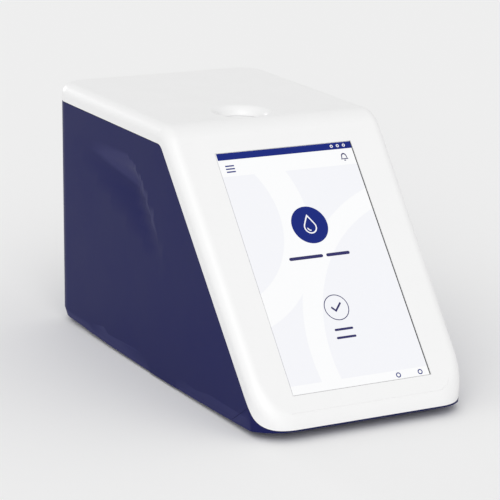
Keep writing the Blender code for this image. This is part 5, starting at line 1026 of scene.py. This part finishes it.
contact = cuboid("network_contact", (-CONTACT_HALF, CONTACT_FRONT, CONTACT_FOOT),
                 (CONTACT_HALF, CONTACT_REAR, CONTACT_TOP))
bpy.ops.object.mode_set(mode="EDIT")
pick(contact, "verts", lambda vertex: near(vertex.co.y, CONTACT_FRONT))
bpy.ops.transform.translate(value=(0, 0, -CONTACT_DROP))
bpy.ops.object.mode_set(mode="OBJECT")
softened(contact, 0.00005, 1)
for index in range(8):
    place = (middle_x + (index - 3.5) * CONTACT_PITCH, 0, 0)
    finished(copied(contact, f"network_contact_{index + 1}", place), gold, "body", "socket_metal")
bpy.data.objects.remove(contact, do_unlink=True)
for index in (1, 2):
    low, high = (Vector(corner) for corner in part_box(f"usb_socket_{index}"))
    middle = (low.x + high.x) / 2
    tongue = cuboid(f"usb_tongue_{index}", (middle - TONGUE_HALF, TONGUE_FRONT, TONGUE_FOOT),
                    (middle + TONGUE_HALF, TONGUE_REAR, TONGUE_TOP))
    finished(softened(tongue, 0.0002, 2), black_abs, "body", "black_plastic")
    for step in range(4):
        across = middle + (step - 1.5) * STRIP_PITCH
        strip = cuboid(f"usb_contact_{index}_{step + 1}", (across - STRIP_HALF, STRIP_FRONT, STRIP_FOOT),
                       (across + STRIP_HALF, STRIP_REAR, STRIP_TOP))
        finished(softened(strip, 0.00005, 1), gold, "body", "socket_metal")
dress(plated_steel, "network_socket", "usb_socket_1", "usb_socket_2")
dress(black_abs, "power_inlet", "power_switch", "cuvette_reader", "lid_tray", "light_source")


# Machined and ground metal inside: the heated aluminium block, the bracket, the rods and the lift screw.
# The block is milled, the bracket is pressed from plated sheet, and the rods and screw are ground steel.

milled = turned_metal("milled_aluminium", (0.66, 0.67, 0.68), (0.58, 0.59, 0.60), (0.25, 0.38),
                      (60, 60, 1500))
ground = turned_metal("ground_steel", (0.58, 0.58, 0.59), (0.50, 0.50, 0.51), (0.14, 0.24),
                      (500, 500, 2600))
dress(milled, "heater_block")
dress(plated_steel, "display_bracket")
dress(ground, "guide_rod_left", "guide_rod_right", "lift_screw")


# Grey mouldings inside: the chassis, the motors and the display's case; and the acetal pinion.
# They are plain engineering plastics, left as moulded.

grey_abs = moulded("grey_abs", (0.20, 0.21, 0.22), (0.24, 0.25, 0.26), (0.40, 0.5), 1800.0)
acetal = moulded("acetal", (0.80, 0.78, 0.70), (0.74, 0.72, 0.64), (0.26, 0.36), 3200.0, 0.000004)
dress(grey_abs, "chassis", "lcd_module", "lid_motor", "lift_motor", "speaker")
dress(acetal, "lid_pinion")


# Circuit boards: glass-fibre sheet under green solder mask, with copper tracks showing through.
# The main board carries the rear sockets, and the small one reads the light that passes the cuvette.


def board_mask(name):
    """Green mask over copper: a brick pattern stands for the tracks, with the weave as a faint mottle."""
    made, tree, shader = blank_material(name, Coat_Weight=0.5, Coat_Roughness=0.12)
    place = shader_node(tree, "TexCoord").outputs["Object"]
    cells = shader_node(tree, "TexBrick", Vector=place, Scale=260.0)
    weave = shader_node(tree, "TexNoise", Vector=place, Scale=900.0, Detail=2.0)
    green = tint(tree, weave.outputs["Fac"], (0.014, 0.120, 0.045), (0.020, 0.160, 0.062))
    tracks = tint(tree, cells.outputs["Fac"], green, (0.045, 0.230, 0.085))
    tree.links.new(tracks, shader.inputs["Base Color"])
    tree.links.new(spread(tree, weave.outputs["Fac"], 0.28, 0.42), shader.inputs["Roughness"])
    bumped(tree, shader, cells.outputs["Fac"], 0.00003)
    return made


solder_mask = board_mask("solder_mask")
dress(solder_mask, "main_board", "detector_board")


# Condenser lens: a polished glass disc in front of the light source.
# It is held in the measuring unit, and has only a trace of dust.

optical, tree, shader = blank_material("lens_glass", Transmission_Weight=1.0, IOR=1.52)
place = shader_node(tree, "TexCoord").outputs["Object"]
dust = shader_node(tree, "TexNoise", Vector=place, Scale=800.0, Detail=2.0)
tree.links.new(spread(tree, dust.outputs["Fac"], 0.01, 0.05), shader.inputs["Roughness"])
clear = tint(tree, dust.outputs["Fac"], (0.93, 0.97, 0.98), (0.88, 0.94, 0.96))
tree.links.new(clear, shader.inputs["Base Color"])
dress(optical, "condenser_lens")


# Studio: a pale floor, soft light from the front and above, and the camera of the photograph.
# A faint second lamp from behind draws the rims of the blue sides.

FLOOR_REACH, BACKDROP, SKY = 12.0, 0.838, 0.72
bpy.ops.mesh.primitive_plane_add(size=FLOOR_REACH)
floor = bpy.context.active_object
floor.name = "floor"
floor_finish, tree, shader = blank_material("floor_finish", Base_Color=(0.92, 0.92, 0.92, 1), Roughness=0.9)
shader.inputs["Specular IOR Level"].default_value = 0.0
floor.data.materials.append(floor_finish)

world = bpy.data.worlds.new("studio")
world.use_nodes = True
tree = world.node_tree
soft_light = tree.nodes["Background"]
soft_light.inputs["Color"].default_value = (1, 1, 1, 1)
soft_light.inputs["Strength"].default_value = SKY
backdrop = tree.nodes.new("ShaderNodeBackground")
backdrop.inputs["Color"].default_value = (BACKDROP, BACKDROP, BACKDROP, 1)
ray = tree.nodes.new("ShaderNodeLightPath")
seen = ray.outputs["Is Camera Ray"]
for label in ("Is Glossy Ray", "Is Transmission Ray"):
    seen = reckoned(tree, "MAXIMUM", seen, ray.outputs[label])
chosen = tree.nodes.new("ShaderNodeMixShader")
tree.links.new(seen, chosen.inputs["Fac"])
tree.links.new(soft_light.outputs["Background"], chosen.inputs[1])
tree.links.new(backdrop.outputs["Background"], chosen.inputs[2])
tree.links.new(chosen.outputs["Shader"], tree.nodes["World Output"].inputs["Surface"])
bpy.context.scene.world = world


def distant_lamp(name, level, angle, towards):
    """A lamp far away in a direction; at a level of 1 it lights a white face to white."""
    lamp = bpy.data.lights.new(name, "SUN")
    lamp.energy = level * math.pi
    lamp.angle = math.radians(angle)
    item = bpy.data.objects.new(name, lamp)
    bpy.context.scene.collection.objects.link(item)
    item.rotation_mode = "QUATERNION"
    item.rotation_quaternion = Vector(towards).to_track_quat("Z", "Y")


distant_lamp("key_light", 0.35, 50, (-0.48, -0.70, 0.58))
distant_lamp("rim_light", 0.10, 15, (-0.10, 0.97, 0.15))

PHOTO_PIXELS, FOCAL_PIXELS, SENSOR = 500, 2343, 36.0
CAMERA_PLACE = (-0.6825, -1.1788, 0.4432)
YAW, PITCH, ROLL = math.radians(29.92), math.radians(15.31), math.radians(1.71)
lens = bpy.data.cameras.new("camera")
lens.sensor_width = SENSOR
lens.lens = FOCAL_PIXELS / PHOTO_PIXELS * SENSOR
lens.clip_start = 0.05
camera = bpy.data.objects.new("camera", lens)
bpy.context.scene.collection.objects.link(camera)
aimed = Matrix.Rotation(-YAW, 4, "Z") @ Matrix.Rotation(math.pi / 2 - PITCH, 4, "X")
turn = aimed @ Matrix.Rotation(ROLL, 4, "Z")
camera.matrix_world = Matrix.Translation(CAMERA_PLACE) @ turn
bpy.context.scene.camera = camera
bpy.context.scene.view_settings.view_transform = "Standard"
